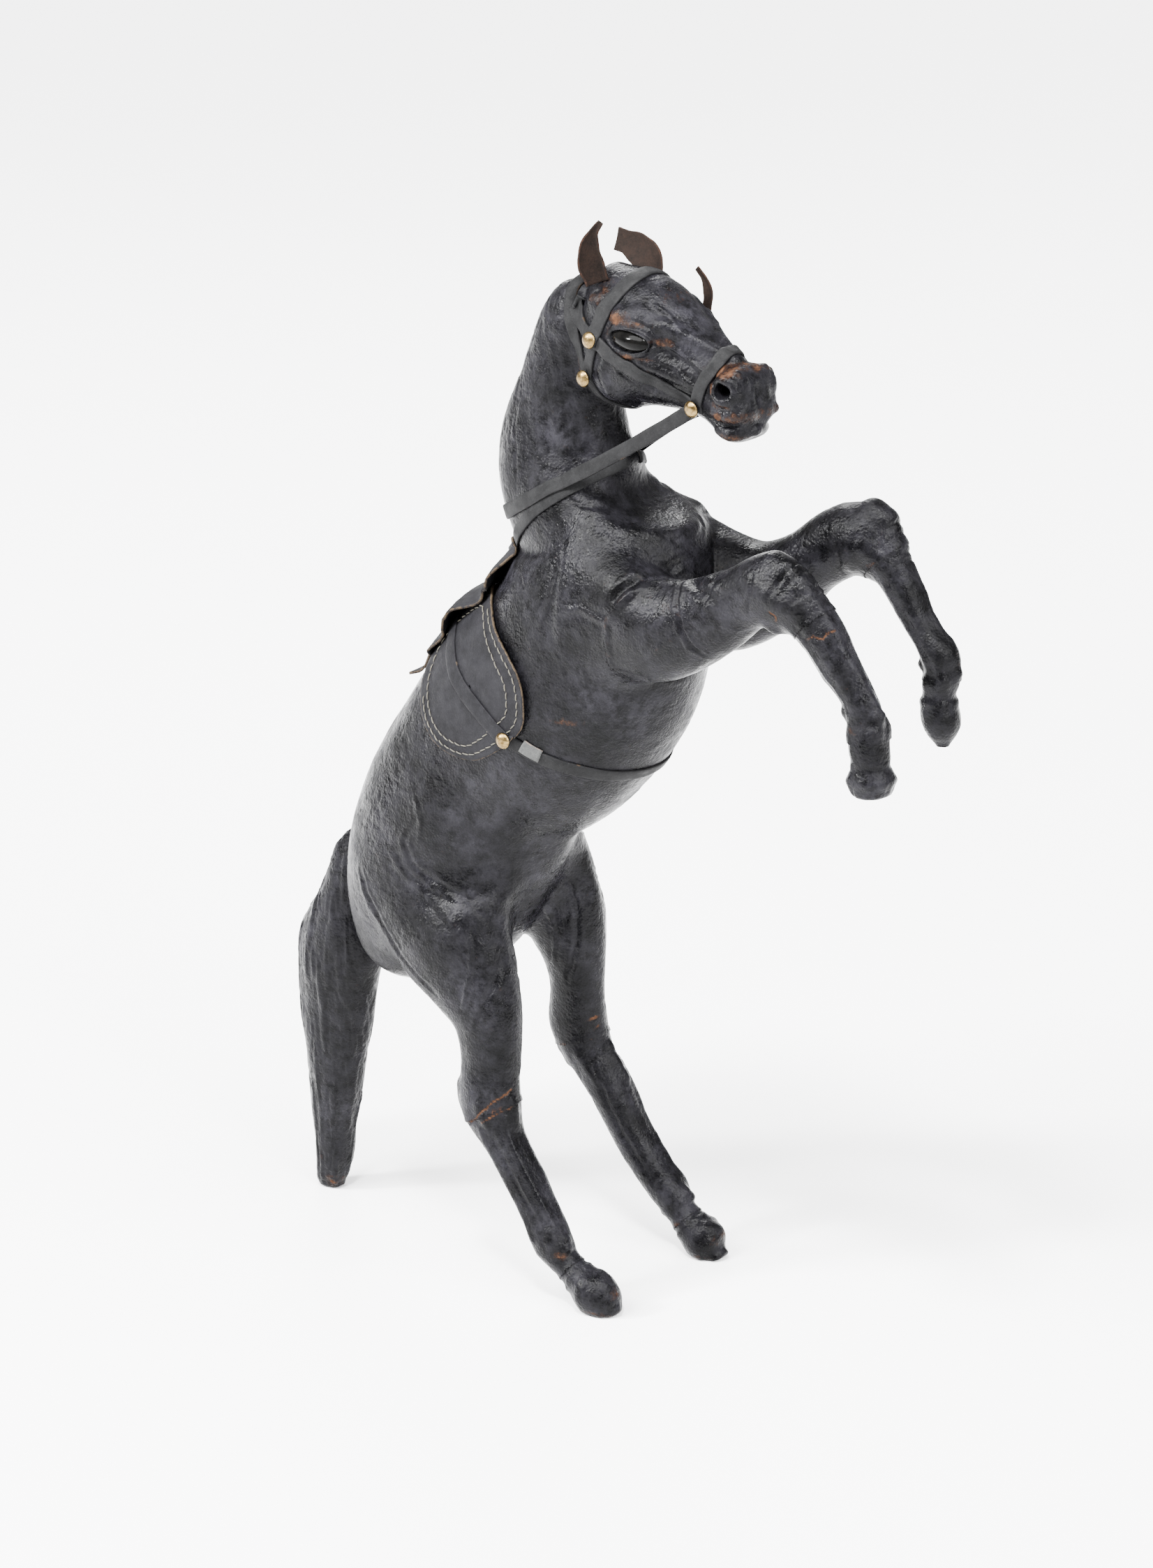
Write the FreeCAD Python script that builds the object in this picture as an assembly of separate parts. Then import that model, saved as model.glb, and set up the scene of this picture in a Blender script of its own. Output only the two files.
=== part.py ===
"""A leather-covered rearing horse figure with bridle, reins, breast strap and saddle.

X runs forward, Y to the horse's left and Z up, in millimetres. The horse stands on
Z = 0 on its two hind hooves and the tip of its tail. The origin is on the ground,
below the middle of the figure.

The figure is built as the real one is: steel wires inside a moulded paper core, thin
leather drawn over the core in panels, then glass eyes, ears and tack on top.
"""
import FreeCAD, Part
import math
import os
from FreeCAD import Placement, Rotation, Vector

# ---------------------------------------------------------------- driving dimensions
HIDE = 1.2               # thickness of the leather covering
STRAP = 1.4              # thickness of the tack leather
WIRE_RADIUS = 1.6        # armature wire
STRAP_WIDTH = 6.5        # crown, jaw and breast straps
CHEEK_WIDTH = 7.5        # cheek straps and noseband
BROWBAND_WIDTH = 9.5
BILLET_WIDTH = 9.0       # the straps that the girth buckles to
REIN_WIDTH = 8.0         # reins and girth
STUD_DIAMETER = 9.0      # brass domed studs
STUD_RISE = 2.6          # height of a stud's dome
SHANK_RADIUS = 0.8       # a stud's nail
SHANK_LENGTH = 6.0
THREAD_WIDTH = 0.8       # sewing thread on the saddle flaps
THREAD_RISE = 0.5
HEAD_TURN = -9.0         # degrees that the head looks to its right
POLL_X = -2.0            # the head turns about the vertical through here
SECTION_POINTS = 12      # points on each rounded section
SECTION_PITCH = 18.0     # about how far apart the lofted sections are
REACH = 150.0            # longer than any half width, for cutting tools

# ---------------------------------------------------------------- body sections
# One row per section: centre x, centre z, half depth, half width, centre y.
# Each section stands square to the line through the centres.
SECTIONS = {
    "torso": [
        (-133, 150, 16, 18, 0),       # below the tail
        (-126, 172, 40, 38, 0),
        (-113, 200, 55, 50, 0),       # rump
        (-92, 246, 62, 52, 0),        # croup
        (-70, 284, 61, 51, 0),        # flank
        (-38.5, 319, 67, 53, 0),      # barrel
        (-9, 353.5, 65, 54, 0),       # girth
        (5, 390, 58.5, 52, 0),        # chest
        (5, 422, 53, 43, 0),           # withers
        (-6, 445, 36, 29, 0),
    ],
    "head": [
        (-2, 539, 28, 14, 0),         # poll
        (8, 538, 35, 22, 0),
        (24, 535.5, 37, 25.5, 0),     # jaw
        (43, 535, 33.5, 25.5, 0),     # eyes
        (60, 529.5, 27, 20, 0),
        (75, 524.5, 21.5, 16, 0),
        (88, 519.5, 19.5, 15, 0),     # noseband
        (99, 515.5, 20.5, 16, 0),     # nostrils
        (108, 511, 15, 13, 0),
        (113, 510, 8, 8, 0),          # lips
    ],
    "neck": [
        (0, 418, 47, 38, 0),
        (-11, 436, 44.5, 34, 0),
        (-20, 453, 43.5, 31, 0),
        (-24, 470, 40, 27, 0),
        (-23, 487, 34.5, 25, 0),
        (-20, 508, 28, 23, 0),
        (-15, 530, 24.5, 21.5, 0),
        (-4, 548, 22, 18, 0),
    ],
    "right_hind": [
        (-86, 224, 42, 21, -26),      # haunch, inside the rump
        (-78, 194, 42, 25, -33),      # thigh
        (-62, 173, 31, 21.5, -37),
        (-48, 149, 20.5, 16.5, -40),  # gaskin
        (-45, 119.5, 17.5, 14, -42),
        (-43.5, 101, 18, 14.5, -43),  # hock
        (-35.5, 86, 13.5, 12, -44),
        (-21.5, 67, 11.5, 11, -45),   # cannon
        (-7, 46, 11, 10.5, -46),
        (4, 28.5, 11, 10.5, -47),     # fetlock
        (13.5, 20, 8.5, 8.5, -47),
        (23.5, 13.5, 11, 11, -47),    # hoof
        (34, 6, 12.5, 12, -47),
        (42, -2, 10, 10, -47),
    ],
    "left_hind": [
        (-72, 222, 38, 22, 30),
        (-55.5, 186.5, 27, 19, 38),
        (-49, 164.5, 20, 15, 39),
        (-47.5, 139.5, 16.5, 13, 41),
        (-48, 117.5, 17.5, 14, 44),
        (-41, 103, 14, 12.5, 45),
        (-29, 86, 12.5, 12, 46),
        (-13.5, 60, 11, 11, 47),
        (2.5, 40, 10.5, 10.5, 47.5),
        (15.5, 27.5, 10, 10, 47.5),
        (23.5, 18, 9, 9, 47.5),
        (31, 12, 11.5, 11.5, 47.5),
        (38, 6, 12, 12, 47.5),
        (45, -2, 10, 10, 47.5),
    ],
    "right_fore": [
        (10, 392, 42, 24, -28),       # shoulder, inside the chest
        (38, 393, 35, 22, -33),
        (66, 393.5, 28, 20, -37),     # elbow
        (92, 403.5, 22.5, 17.5, -39),
        (108, 413, 19.5, 16, -39.5),
        (123, 423, 17.5, 15, -40),
        (139, 428, 20, 16, -40),      # knee
        (151, 424.5, 16, 14, -41),
        (162, 417, 13, 11.5, -41),
        (171, 407, 11.5, 11, -41),    # cannon
        (179.5, 395, 10.5, 10, -41),
        (190, 382, 9, 9, -41),
        (195, 369, 10, 9.5, -41),     # fetlock
        (197, 357, 9, 9, -41),
        (198.5, 345, 10.6, 10.6, -41),
        (199.5, 331, 10, 10, -41),
    ],
    "left_fore": [
        (10, 392, 44, 24, 28),
        (36, 396, 38, 23, 33),
        (60, 394, 32, 21, 36),
        (85, 402, 23.5, 18, 38),
        (109.5, 421, 18, 15.5, 38),
        (128, 434, 19, 15, 38.5),
        (141.5, 436.5, 19, 16, 39),
        (152.5, 429, 14, 12, 39),
        (160.5, 419, 10.5, 10, 39),
        (169.5, 405, 9, 8.5, 39),
        (179.5, 391, 8, 8, 39),
        (188, 380.5, 10, 9.5, 39),
        (188, 369, 8, 8, 39),
        (188, 353.5, 10.3, 10.3, 39),
        (190, 340, 8, 8, 39),
        (190.5, 333, 4, 4, 39),
    ],
    "tail": [
        (-150, 205, 14, 14, 0),       # inside the rump
        (-172, 192, 17, 17, 0),
        (-178, 170, 21, 19, 0),
        (-181.5, 152.5, 27, 20, 0),
        (-184.5, 136, 25.5, 19.5, 0),
        (-186, 115.5, 23.5, 17.5, 0),
        (-187, 92, 20.5, 16.5, 0),
        (-187.5, 67, 16.5, 14.5, 0),
        (-189, 42, 12.5, 12.5, 0),
        (-189.5, 24.5, 11, 11, 0),
        (-191, 8.5, 9.5, 9.5, 0),
        (-192, -2, 9, 9, 0),
    ],
}

# Where the leather on each leg is seamed: a point on the leg's centre line and the
# direction that the leg runs there, in degrees above forward.
SEAMS = {
    "right_hind": (((-42, 98), -62), ((14, 19.5), -38)),
    "left_hind": (((-45, 112), -70), ((24, 17.5), -42)),
    "right_fore": (((163, 416), -47), ((196.5, 360), -82)),
    "left_fore": (((153, 428.5), -48), ((188, 370), -88)),
}
LEG_PANELS = {
    "hind": ("{}_thigh_leather", "{}_shank_leather", "{}_hind_hoof_boot"),
    "fore": ("{}_forearm_leather", "{}_cannon_leather", "{}_fore_hoof_boot"),
}

# Armature wires: points along the middle of the core, as x, y, z.
WIRES = {
    "spine_wire": [(-95, 0, 235), (-40, 0, 320), (0, 0, 390), (-12, 0, 450), (-22, 0, 500),
                   (-8, 0, 535), (60, -9, 528)],
    "tail_wire": [(-118, 0, 212), (-165, 0, 194), (-180, 0, 160), (-187, 0, 90), (-190, 0, 14)],
    "right_hind_wire": [(-85, -28, 235), (-66, -36, 178), (-46, -42, 125), (-42, -43, 96),
                        (3, -47, 30), (26, -47, 10)],
    "left_hind_wire": [(-72, 28, 228), (-54, 38, 182), (-47, 43, 122), (-40, 45, 102),
                       (13, 47.5, 30), (31, 47.5, 10)],
    "right_fore_wire": [(5, -26, 385), (60, -36, 396), (122, -40, 421), (145, -41, 424),
                        (188, -41, 384), (198, -41, 342)],
    "left_fore_wire": [(5, 26, 385), (60, 36, 398), (118, 38, 426), (144, 39, 430),
                       (184, 39, 385), (188, 39, 350)],
}

# Bridle, in the straight-ahead head's side view as x, z.
TEMPLE = (18, 538)
JAW = (12, 516)
MOUTH = (81.5, 511.5)
CROWN_PATH = [(8, 584), (-3, 563), (-3, 545), (4, 528), JAW]
CHEEK_PATH = [(-2, 552), (7, 543), TEMPLE, MOUTH]
BROW_PATH = [TEMPLE, (25, 556), (37, 580)]
NOSE_PATH = [MOUTH, (86, 527), (98, 546)]
JAW_PATH = [TEMPLE, JAW]
THROAT_PATH = [JAW, (19, 504), (30, 488)]

# Tack on the body, in side view as x, z.
BREAST_PATH = [(48, 492), (27, 473), (-1, 455), (-20, 441), (-37, 424), (-52, 404), (-60, 388)]
REIN_PATH = [(-74, 416), (-40, 437), (-11, 455)]
REIN_LEAVES_NECK = (-12, 31.3, 454.5)
RIGHT_GIRTH_STUD = (-24, 319)
LEFT_GIRTH_STUD = (16, 300)   # buckled further down than the right one
RIGHT_GIRTH_PATH = [RIGHT_GIRTH_STUD, (9, 306), (30, 300), (46, 298), (70, 297)]
LEFT_GIRTH_PATH = [(-26, 320), (-4, 309), LEFT_GIRTH_STUD, (46, 298), (70, 297)]
RIGHT_BILLET_PATH = [(-84, 362), (-65, 346), (-43, 332), RIGHT_GIRTH_STUD]
LEFT_BILLET_PATH = RIGHT_BILLET_PATH + [(-4, 309), LEFT_GIRTH_STUD]
KEEPER_PATH = [(-13, 317), (-2, 311)]
KEEPER_WIDTH = 8.5
SEAT_PATH = [(-52, 402), (-66, 380), (-92, 352), (-108, 327)]
SEAT_WIDTH = 30.0
FLAP_OUTLINE = [(-58, 388), (-34, 374), (-16, 358), (-11, 343), (-14, 326), (-35, 308),
                (-52, 302), (-74, 306), (-90, 320), (-97, 338), (-92, 362)]
FLAP_GAP = 5.0           # the flaps start this far from the spine
THREAD_INSETS = (3.2, 8.4)
THREAD_RUNS = 30         # straight runs round each row of stitching

# Eyes and ears on the straight-ahead head.
EYE_CENTRE = (43.5, 22.5, 541.5)
EYE_RADII = (12.5, 5.5, 6.0)
RIGHT_EAR = [((9, -14, 563), 9, 3.0), ((8, -16, 571), 9, 2.8), ((8, -17, 581), 7, 2.4),
             ((10, -17, 590), 4, 2.0), ((13, -16, 597), 1.2, 1.2)]
LEFT_EAR = [((24, 12, 566), 5, 3.0), ((21, 13, 575), 8, 2.8), ((11, 14, 582), 9, 2.4),
            ((1, 14, 583), 8, 2.0), ((-4, 14, 582), 6, 1.6)]
LEFT_EYELID_STRIP = [((47, 22, 540), 3, 1.4), ((50, 24.5, 549), 3, 1.4), ((52, 25, 559), 2.4, 1.4),
                     ((48, 25, 568), 2, 1.2), ((44, 25, 572), 1.4, 1.0)]


# ---------------------------------------------------------------- building blocks
def box_between(low, high):
    size = [b - a for a, b in zip(low, high)]
    return Part.makeBox(*size, Vector(*low))


def evened_out(rows):
    """Rows at an even spacing on a smooth curve through the given rows."""
    ends = [rows[0]] + list(rows) + [rows[-1]]
    chord = [max(math.dist(a[:2], b[:2]), 1e-6) for a, b in zip(ends, ends[1:])]
    found = []
    for i in range(1, len(rows)):
        before, start, stop, after = ends[i - 1:i + 3]
        slopes = []
        for j, (left, here, right) in ((i, (before, start, stop)), (i + 1, (start, stop, after))):
            reach = chord[j - 1] + chord[j]
            slopes.append([(r - lft) / reach * chord[i] for lft, r in zip(left, right)])
        steps = max(1, round(chord[i] / SECTION_PITCH))
        for k in range(steps):
            t = k / steps
            found.append(tuple(
                (2 * t**3 - 3 * t**2 + 1) * a + (t**3 - 2 * t**2 + t) * m
                + (3 * t**2 - 2 * t**3) * b + (t**3 - t**2) * n
                for a, b, m, n in zip(start, stop, *slopes)))
    found.append(rows[-1])
    return found


def directions(rows):
    """The direction of the centre line at each row, as unit (x, z) pairs."""
    found = []
    for i in range(len(rows)):
        before = rows[max(i - 1, 0)]
        after = rows[min(i + 1, len(rows) - 1)]
        dx = after[0] - before[0]
        dz = after[1] - before[1]
        length = math.hypot(dx, dz)
        found.append((dx / length, dz / length))
    return found


def section(centre, along, depth, width):
    """A closed rounded section, square to the centre line."""
    points = []
    for k in range(SECTION_POINTS):
        turn = 2 * math.pi * k / SECTION_POINTS
        up = depth * math.cos(turn)
        points.append(centre + Vector(-along[1] * up, width * math.sin(turn), along[0] * up))
    curve = Part.BSplineCurve()
    knots = [k / SECTION_POINTS for k in range(SECTION_POINTS + 1)]
    curve.interpolate(Points=points, PeriodicFlag=True, Parameters=knots)
    return Part.Wire(curve.toShape())


def tube(name, grow=0.0):
    """The body part's rounded solid, grown all round, or shrunk if grow is negative."""
    rows = evened_out(SECTIONS[name])
    along = directions(rows)
    wires = []
    for i, (x, z, depth, width, y) in enumerate(rows):
        end = {0: -grow, len(rows) - 1: grow}.get(i, 0.0)
        centre = Vector(x + along[i][0] * end, y, z + along[i][1] * end)
        wires.append(section(centre, along[i], depth + grow, width + grow))
    solid = Part.makeLoft(wires, True, False)
    if name == "head":
        solid = turn_head(solid)
    return solid


def turn_head(shape):
    turned = shape.copy()
    turned.rotate(Vector(POLL_X, 0, 0), Vector(0, 0, 1), HEAD_TURN)
    return turned


def near(a, b):
    return a.BoundBox.intersect(b.BoundBox)


def without(shape, tools):
    """The shape with every tool that comes near it cut away."""
    close = [tool for tool in tools if near(shape, tool)]
    return shape.cut(close) if close else shape


def solids_of(shape, smallest=0.02):
    """The shape's real solids, leaving out slivers under a share of the largest."""
    solids = sorted(shape.Solids, key=lambda s: -s.Volume)
    return [s for s in solids if s.Volume > smallest * solids[0].Volume]


def above(z):
    return box_between((-300, -300, z), (300, 300, 700))


# ---------------------------------------------------------------- core and covering
def floored(shape, name, lowest):
    """Parts that stand on the floor are cut flat at the given height."""
    if name.endswith("hind") or name == "tail":
        return shape.common(above(lowest))
    return shape


def body_solids():
    """The outside of the leather and the outside of the core, for each body part."""
    outer = {}
    inner = {}
    for name in SECTIONS:
        outer[name] = floored(tube(name), name, 0)
        inner[name] = floored(tube(name, -HIDE), name, HIDE)
    return outer, inner


def wire(points):
    """A round wire through the points: straight lengths with a ball at each bend."""
    places = [Vector(*p) for p in points]
    lengths = []
    for start, stop in zip(places, places[1:]):
        run = stop - start
        lengths.append(Part.makeCylinder(WIRE_RADIUS, run.Length, start, run))
    balls = [Part.makeSphere(WIRE_RADIUS, bend) for bend in places[1:-1]]
    return lengths[0].multiFuse(lengths[1:] + balls).removeSplitter()


def cores(outer, inner, fittings):
    """Each core, less the cores listed before it and whatever is set into it."""
    made = {}
    order = list(SECTIONS)
    for i, name in enumerate(order):
        taken = [inner[earlier] for earlier in order[:i]]
        made[name] = without(without(inner[name], taken), fittings)
    return made


def coverings(outer, inner, fittings):
    """Each leather covering: outside the core, clear of the parts listed before it."""
    made = {}
    order = list(SECTIONS)
    for i, name in enumerate(order):
        shape = without(outer[name], [outer[earlier] for earlier in order[:i]])
        shape = without(shape, [inner[name]])
        shape = without(shape, [inner[later] for later in order[i + 1:]])
        made[name] = without(shape, fittings)
    return made


def beyond(point, slope, y):
    """A block that covers everything past a seam along a leg."""
    block = Part.makeBox(REACH, REACH, REACH, Vector(0, -REACH / 2, -REACH / 2))
    turn = Rotation(Vector(0, 1, 0), -slope)
    return block.transformed(Placement(Vector(point[0], y, point[1]), turn).toMatrix())


def leg_panels(name, covering):
    """The leg's covering as its separate panels, from the top down."""
    side, pair = name.split("_")
    y = SECTIONS[name][5][4]
    titles = [title.format(side) for title in LEG_PANELS[pair]]
    panels = {}
    rest = covering
    for (point, slope), title in zip(SEAMS[name], titles):
        lower = beyond(point, slope, y)
        panels[title] = rest.cut(lower)
        rest = rest.common(lower)
    panels[titles[-1]] = rest
    return panels


# ---------------------------------------------------------------- eyes and ears
def eye(side):
    x, y, z = EYE_CENTRE
    ball = Part.makeSphere(1.0)
    stretch = FreeCAD.Matrix()
    stretch.scale(*EYE_RADII)
    stretched = ball.transformGeometry(stretch)
    stretched.translate(Vector(x, side * y, z))
    return turn_head(stretched)


def leaf(stations):
    """A curled leaf of leather through flat rounded sections: centre, half width, half thickness."""
    wires = []
    centres = [Vector(*centre) for centre, _, _ in stations]
    for i, (_, width, thickness) in enumerate(stations):
        before = centres[max(i - 1, 0)]
        after = centres[min(i + 1, len(centres) - 1)]
        oval = Part.Ellipse(Vector(0, 0, 0), width, min(thickness, width * 0.95))
        shape = Part.Wire(oval.toShape())
        along = (after - before).normalize()
        across = Vector(0, 1, 0).cross(along).normalize()
        facing = Rotation(across, along.cross(across), along, "XYZ")
        shape.Placement = Placement(centres[i], facing)
        wires.append(shape)
    return turn_head(Part.makeLoft(wires, True, False))


# ---------------------------------------------------------------- tack
def swollen(names, grow):
    """Some body parts grown by a strap's height above the leather, joined."""
    grown = [tube(name, grow) for name in names]
    return grown[0].fuse(grown[1:]) if len(grown) > 1 else grown[0]


def laid_on(below, above_it, block, clear_of=()):
    """The piece of a block that lies between two of the swollen bodies."""
    return without(above_it.common(block).cut(below), list(clear_of))


def strip(path, width, side=0):
    """A block of the given width along a side-view path, on one side or right through."""
    left = []
    right = []
    along = directions(path)
    for (x, z), (dx, dz) in zip(path, along):
        left.append(Vector(x - dz * width / 2, 0, z + dx * width / 2))
        right.append(Vector(x + dz * width / 2, 0, z - dx * width / 2))
    return swept_across(Part.makePolygon(left + right[::-1] + left[:1]), side)


def swept_across(outline, side=0, gap=0.0):
    """The outline carried across the body: side is -1 for right, 1 for left, 0 for both."""
    face = Part.Face(Part.Wire(outline.Edges))
    low, high = {0: (-REACH, REACH), -1: (-REACH, -gap), 1: (gap, REACH)}[side]
    face.translate(Vector(0, low, 0))
    return face.extrude(Vector(0, high - low, 0))


def curve_through(points, closed):
    curve = Part.BSplineCurve()
    curve.interpolate([Vector(x, 0, z) for x, z in points], PeriodicFlag=closed)
    return curve


def stud(x, z, side, rise, in_head):
    """A brass stud: a domed head and a nail, its seat at the given distance out."""
    radius = STUD_DIAMETER / 2
    ball_radius = (radius ** 2 + STUD_RISE ** 2) / (2 * STUD_RISE)
    ball = Part.makeSphere(ball_radius, Vector(0, 0, STUD_RISE - ball_radius))
    dome = ball.common(Part.makeCylinder(radius, STUD_RISE))
    nail = Part.makeCylinder(SHANK_RADIUS, SHANK_LENGTH + 1, Vector(0, 0, -SHANK_LENGTH))
    made = dome.fuse(nail).removeSplitter()
    made.rotate(Vector(0, 0, 0), Vector(1, 0, 0), -90 * side)
    made.translate(Vector(x, side * rise, z))
    return turn_head(made) if in_head else made


def seat_height(shape, x, z, side):
    """How far out from the middle plane the shape's surface is at a side-view point."""
    probe = Part.makeLine(Vector(x, 0, z), Vector(x, side * REACH, z))
    inside = shape.common(probe)
    return max(abs(v.Point.y) for v in inside.Vertexes)


def rounded(outline_points, inset=0.0):
    """A smooth closed outline through the points, or a set distance inside them."""
    if inset:
        closed = [outline_points[-1]] + list(outline_points) + [outline_points[0]]
        moved = []
        for before, (x, z), after in zip(closed, closed[1:], closed[2:]):
            dx = after[0] - before[0]
            dz = after[1] - before[1]
            length = math.hypot(dx, dz)
            moved.append((x + dz / length * inset, z - dx / length * inset))
        outline_points = moved
    return Part.Wire(curve_through(outline_points, True).toShape())


def rein_ribbon(side, mouth_out):
    """The free stretch of rein from the neck to the mouth stud, as a flat ribbon."""
    x, y, z = REIN_LEAVES_NECK
    start = Vector(x, side * y, z)
    stop = Vector(MOUTH[0] - 2, side * (mouth_out + STRAP / 2), MOUTH[1] - 1)
    stop = Rotation(Vector(0, 0, 1), HEAD_TURN).multVec(stop - Vector(POLL_X, 0, 0))
    stop += Vector(POLL_X, 0, 0)
    run = stop - start
    across = Vector(0, 1, 0).cross(run).normalize() * (REIN_WIDTH / 2)
    out = Vector(0, STRAP / 2, 0)
    ends = []
    for centre in (start, stop):
        corners = [centre + across + out, centre - across + out,
                   centre - across - out, centre + across - out]
        ends.append(Part.makePolygon(corners + corners[:1]))
    return Part.makeLoft(ends, True, True)


def bridle(outer):
    """Bridle straps, each cut back from the ones placed before it, and the studs."""
    below = swollen(["head", "neck"], 0)
    above_it = swollen(["head", "neck"], STRAP)
    placed = {}

    def place(name, path, width, side=0):
        block = turn_head(strip(path, width, side))
        placed[name] = laid_on(below, above_it, block, placed.values())

    place("crown_strap", CROWN_PATH, STRAP_WIDTH)
    for title, side in (("right", -1), ("left", 1)):
        place(f"{title}_cheek_strap", CHEEK_PATH, CHEEK_WIDTH, side)
    place("browband", BROW_PATH, BROWBAND_WIDTH)
    place("noseband", NOSE_PATH, CHEEK_WIDTH)
    place("throat_lash", THROAT_PATH, STRAP_WIDTH)
    for title, side in (("right", -1), ("left", 1)):
        place(f"{title}_jaw_strap", JAW_PATH, STRAP_WIDTH, side)

    straight = outer["head"].copy()
    straight.rotate(Vector(POLL_X, 0, 0), Vector(0, 0, 1), -HEAD_TURN)
    studs = []
    for x, z in (TEMPLE, JAW, MOUTH):
        for side in (-1, 1):
            out = seat_height(straight, x, z, side) + STRAP
            studs.append(stud(x, z, side, out, True))
    mouth_out = seat_height(straight, *MOUTH, 1) + STRAP
    return placed, studs, mouth_out


def saddle_and_straps(outer):
    """Everything strapped round the body, and the two girth studs."""
    leather = swollen(["torso", "neck"], 0)
    first = swollen(["torso", "neck"], STRAP)
    second = swollen(["torso", "neck"], 2 * STRAP)
    sewn = swollen(["torso", "neck"], STRAP + THREAD_RISE)
    sides = (("right", -1), ("left", 1))
    girth_paths = {-1: RIGHT_GIRTH_PATH, 1: LEFT_GIRTH_PATH}
    billet_paths = {-1: RIGHT_BILLET_PATH, 1: LEFT_BILLET_PATH}

    placed = {"saddle_seat": laid_on(first, second, strip(SEAT_PATH, SEAT_WIDTH))}
    flap_wire = rounded(FLAP_OUTLINE)
    for title, side in sides:
        block = swept_across(flap_wire, side, FLAP_GAP)
        placed[f"{title}_saddle_flap"] = laid_on(leather, first, block)
        block = strip(billet_paths[side], BILLET_WIDTH, side)
        placed[f"{title}_billet"] = laid_on(first, second, block, [placed["saddle_seat"]])
    flaps = [placed[f"{title}_saddle_flap"] for title, _ in sides]
    halves = [strip(path, REIN_WIDTH, side) for side, path in girth_paths.items()]
    placed["girth"] = laid_on(leather, first, halves[0].fuse(halves[1]), flaps)
    placed["girth_keeper"] = laid_on(first, second, strip(KEEPER_PATH, KEEPER_WIDTH, -1))
    placed["breast_strap"] = laid_on(leather, first, strip(BREAST_PATH, STRAP_WIDTH), flaps)
    for title, side in sides:
        on_top = [placed["saddle_seat"], placed[f"{title}_billet"]]
        rows = []
        for inset in THREAD_INSETS:
            line = rounded(FLAP_OUTLINE, inset).discretize(THREAD_RUNS)
            path = [(point.x, point.z) for point in line[:-2]]
            block = strip(path, THREAD_WIDTH, side)
            rows += laid_on(first, sewn, block, on_top).Solids
        placed[f"{title}_flap_thread"] = Part.makeCompound(rows)
    studs = []
    for side, (x, z) in ((-1, RIGHT_GIRTH_STUD), (1, LEFT_GIRTH_STUD)):
        out = seat_height(outer["torso"], x, z, side) + 2 * STRAP
        studs.append(stud(x, z, side, out, False))
    return placed, studs


def reins(outer, mouth_out, in_the_way):
    """One long strap: round the back of the neck and forward to both mouth studs."""
    names = ["neck", "torso"]
    wrap = laid_on(swollen(names, 0), swollen(names, STRAP), strip(REIN_PATH, REIN_WIDTH))
    ribbons = [rein_ribbon(side, mouth_out) for side in (-1, 1)]
    whole = wrap.fuse(ribbons)
    return without(whole, [outer["neck"], outer["torso"], outer["head"]] + in_the_way)


# ---------------------------------------------------------------- the whole figure
def build():
    outer, inner = body_solids()
    wires = {name: wire(points) for name, points in WIRES.items()}
    bridle_parts, bridle_studs, mouth_out = bridle(outer)
    saddle_parts, girth_studs = saddle_and_straps(outer)
    studs = bridle_studs + girth_studs
    eyes = {"right_eye": eye(-1), "left_eye": eye(1)}

    nodes = dict(wires)
    nodes.update(eyes)
    set_in = list(wires.values()) + list(eyes.values()) + studs
    for name, core in cores(outer, inner, set_in).items():
        nodes[f"{name}_core"] = core
    for name, covering in coverings(outer, inner, list(eyes.values()) + studs).items():
        if name in SEAMS:
            nodes.update(leg_panels(name, covering))
        else:
            nodes[f"{name}_leather"] = covering

    tack = dict(bridle_parts)
    tack.update(saddle_parts)
    tack["reins"] = reins(outer, mouth_out, list(bridle_parts.values())
                          + [saddle_parts["breast_strap"]])
    for name, shape in tack.items():
        nodes[name] = without(shape, studs + list(eyes.values()))

    leaves = {"right_ear": RIGHT_EAR, "left_ear": LEFT_EAR, "left_eyelid_strip": LEFT_EYELID_STRIP}
    for name, stations in leaves.items():
        in_the_way = [outer["head"], outer["neck"], nodes["crown_strap"], nodes["browband"],
                      eyes["left_eye"]]
        nodes[name] = without(leaf(stations), in_the_way)
    nodes["bridle_studs"] = Part.makeCompound(bridle_studs)
    nodes["girth_studs"] = Part.makeCompound(girth_studs)
    return nodes


def main():
    os.makedirs("parts", exist_ok=True)
    for name, shape in build().items():
        solids = solids_of(shape)
        whole = solids[0] if len(solids) == 1 else Part.makeCompound(solids)
        whole.exportStep(f"parts/{name}.step")
        print(f"{name}: {len(solids)} solid(s), {whole.Volume / 1000:.2f} cm3")


if __name__ == "__main__":
    main()
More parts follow.
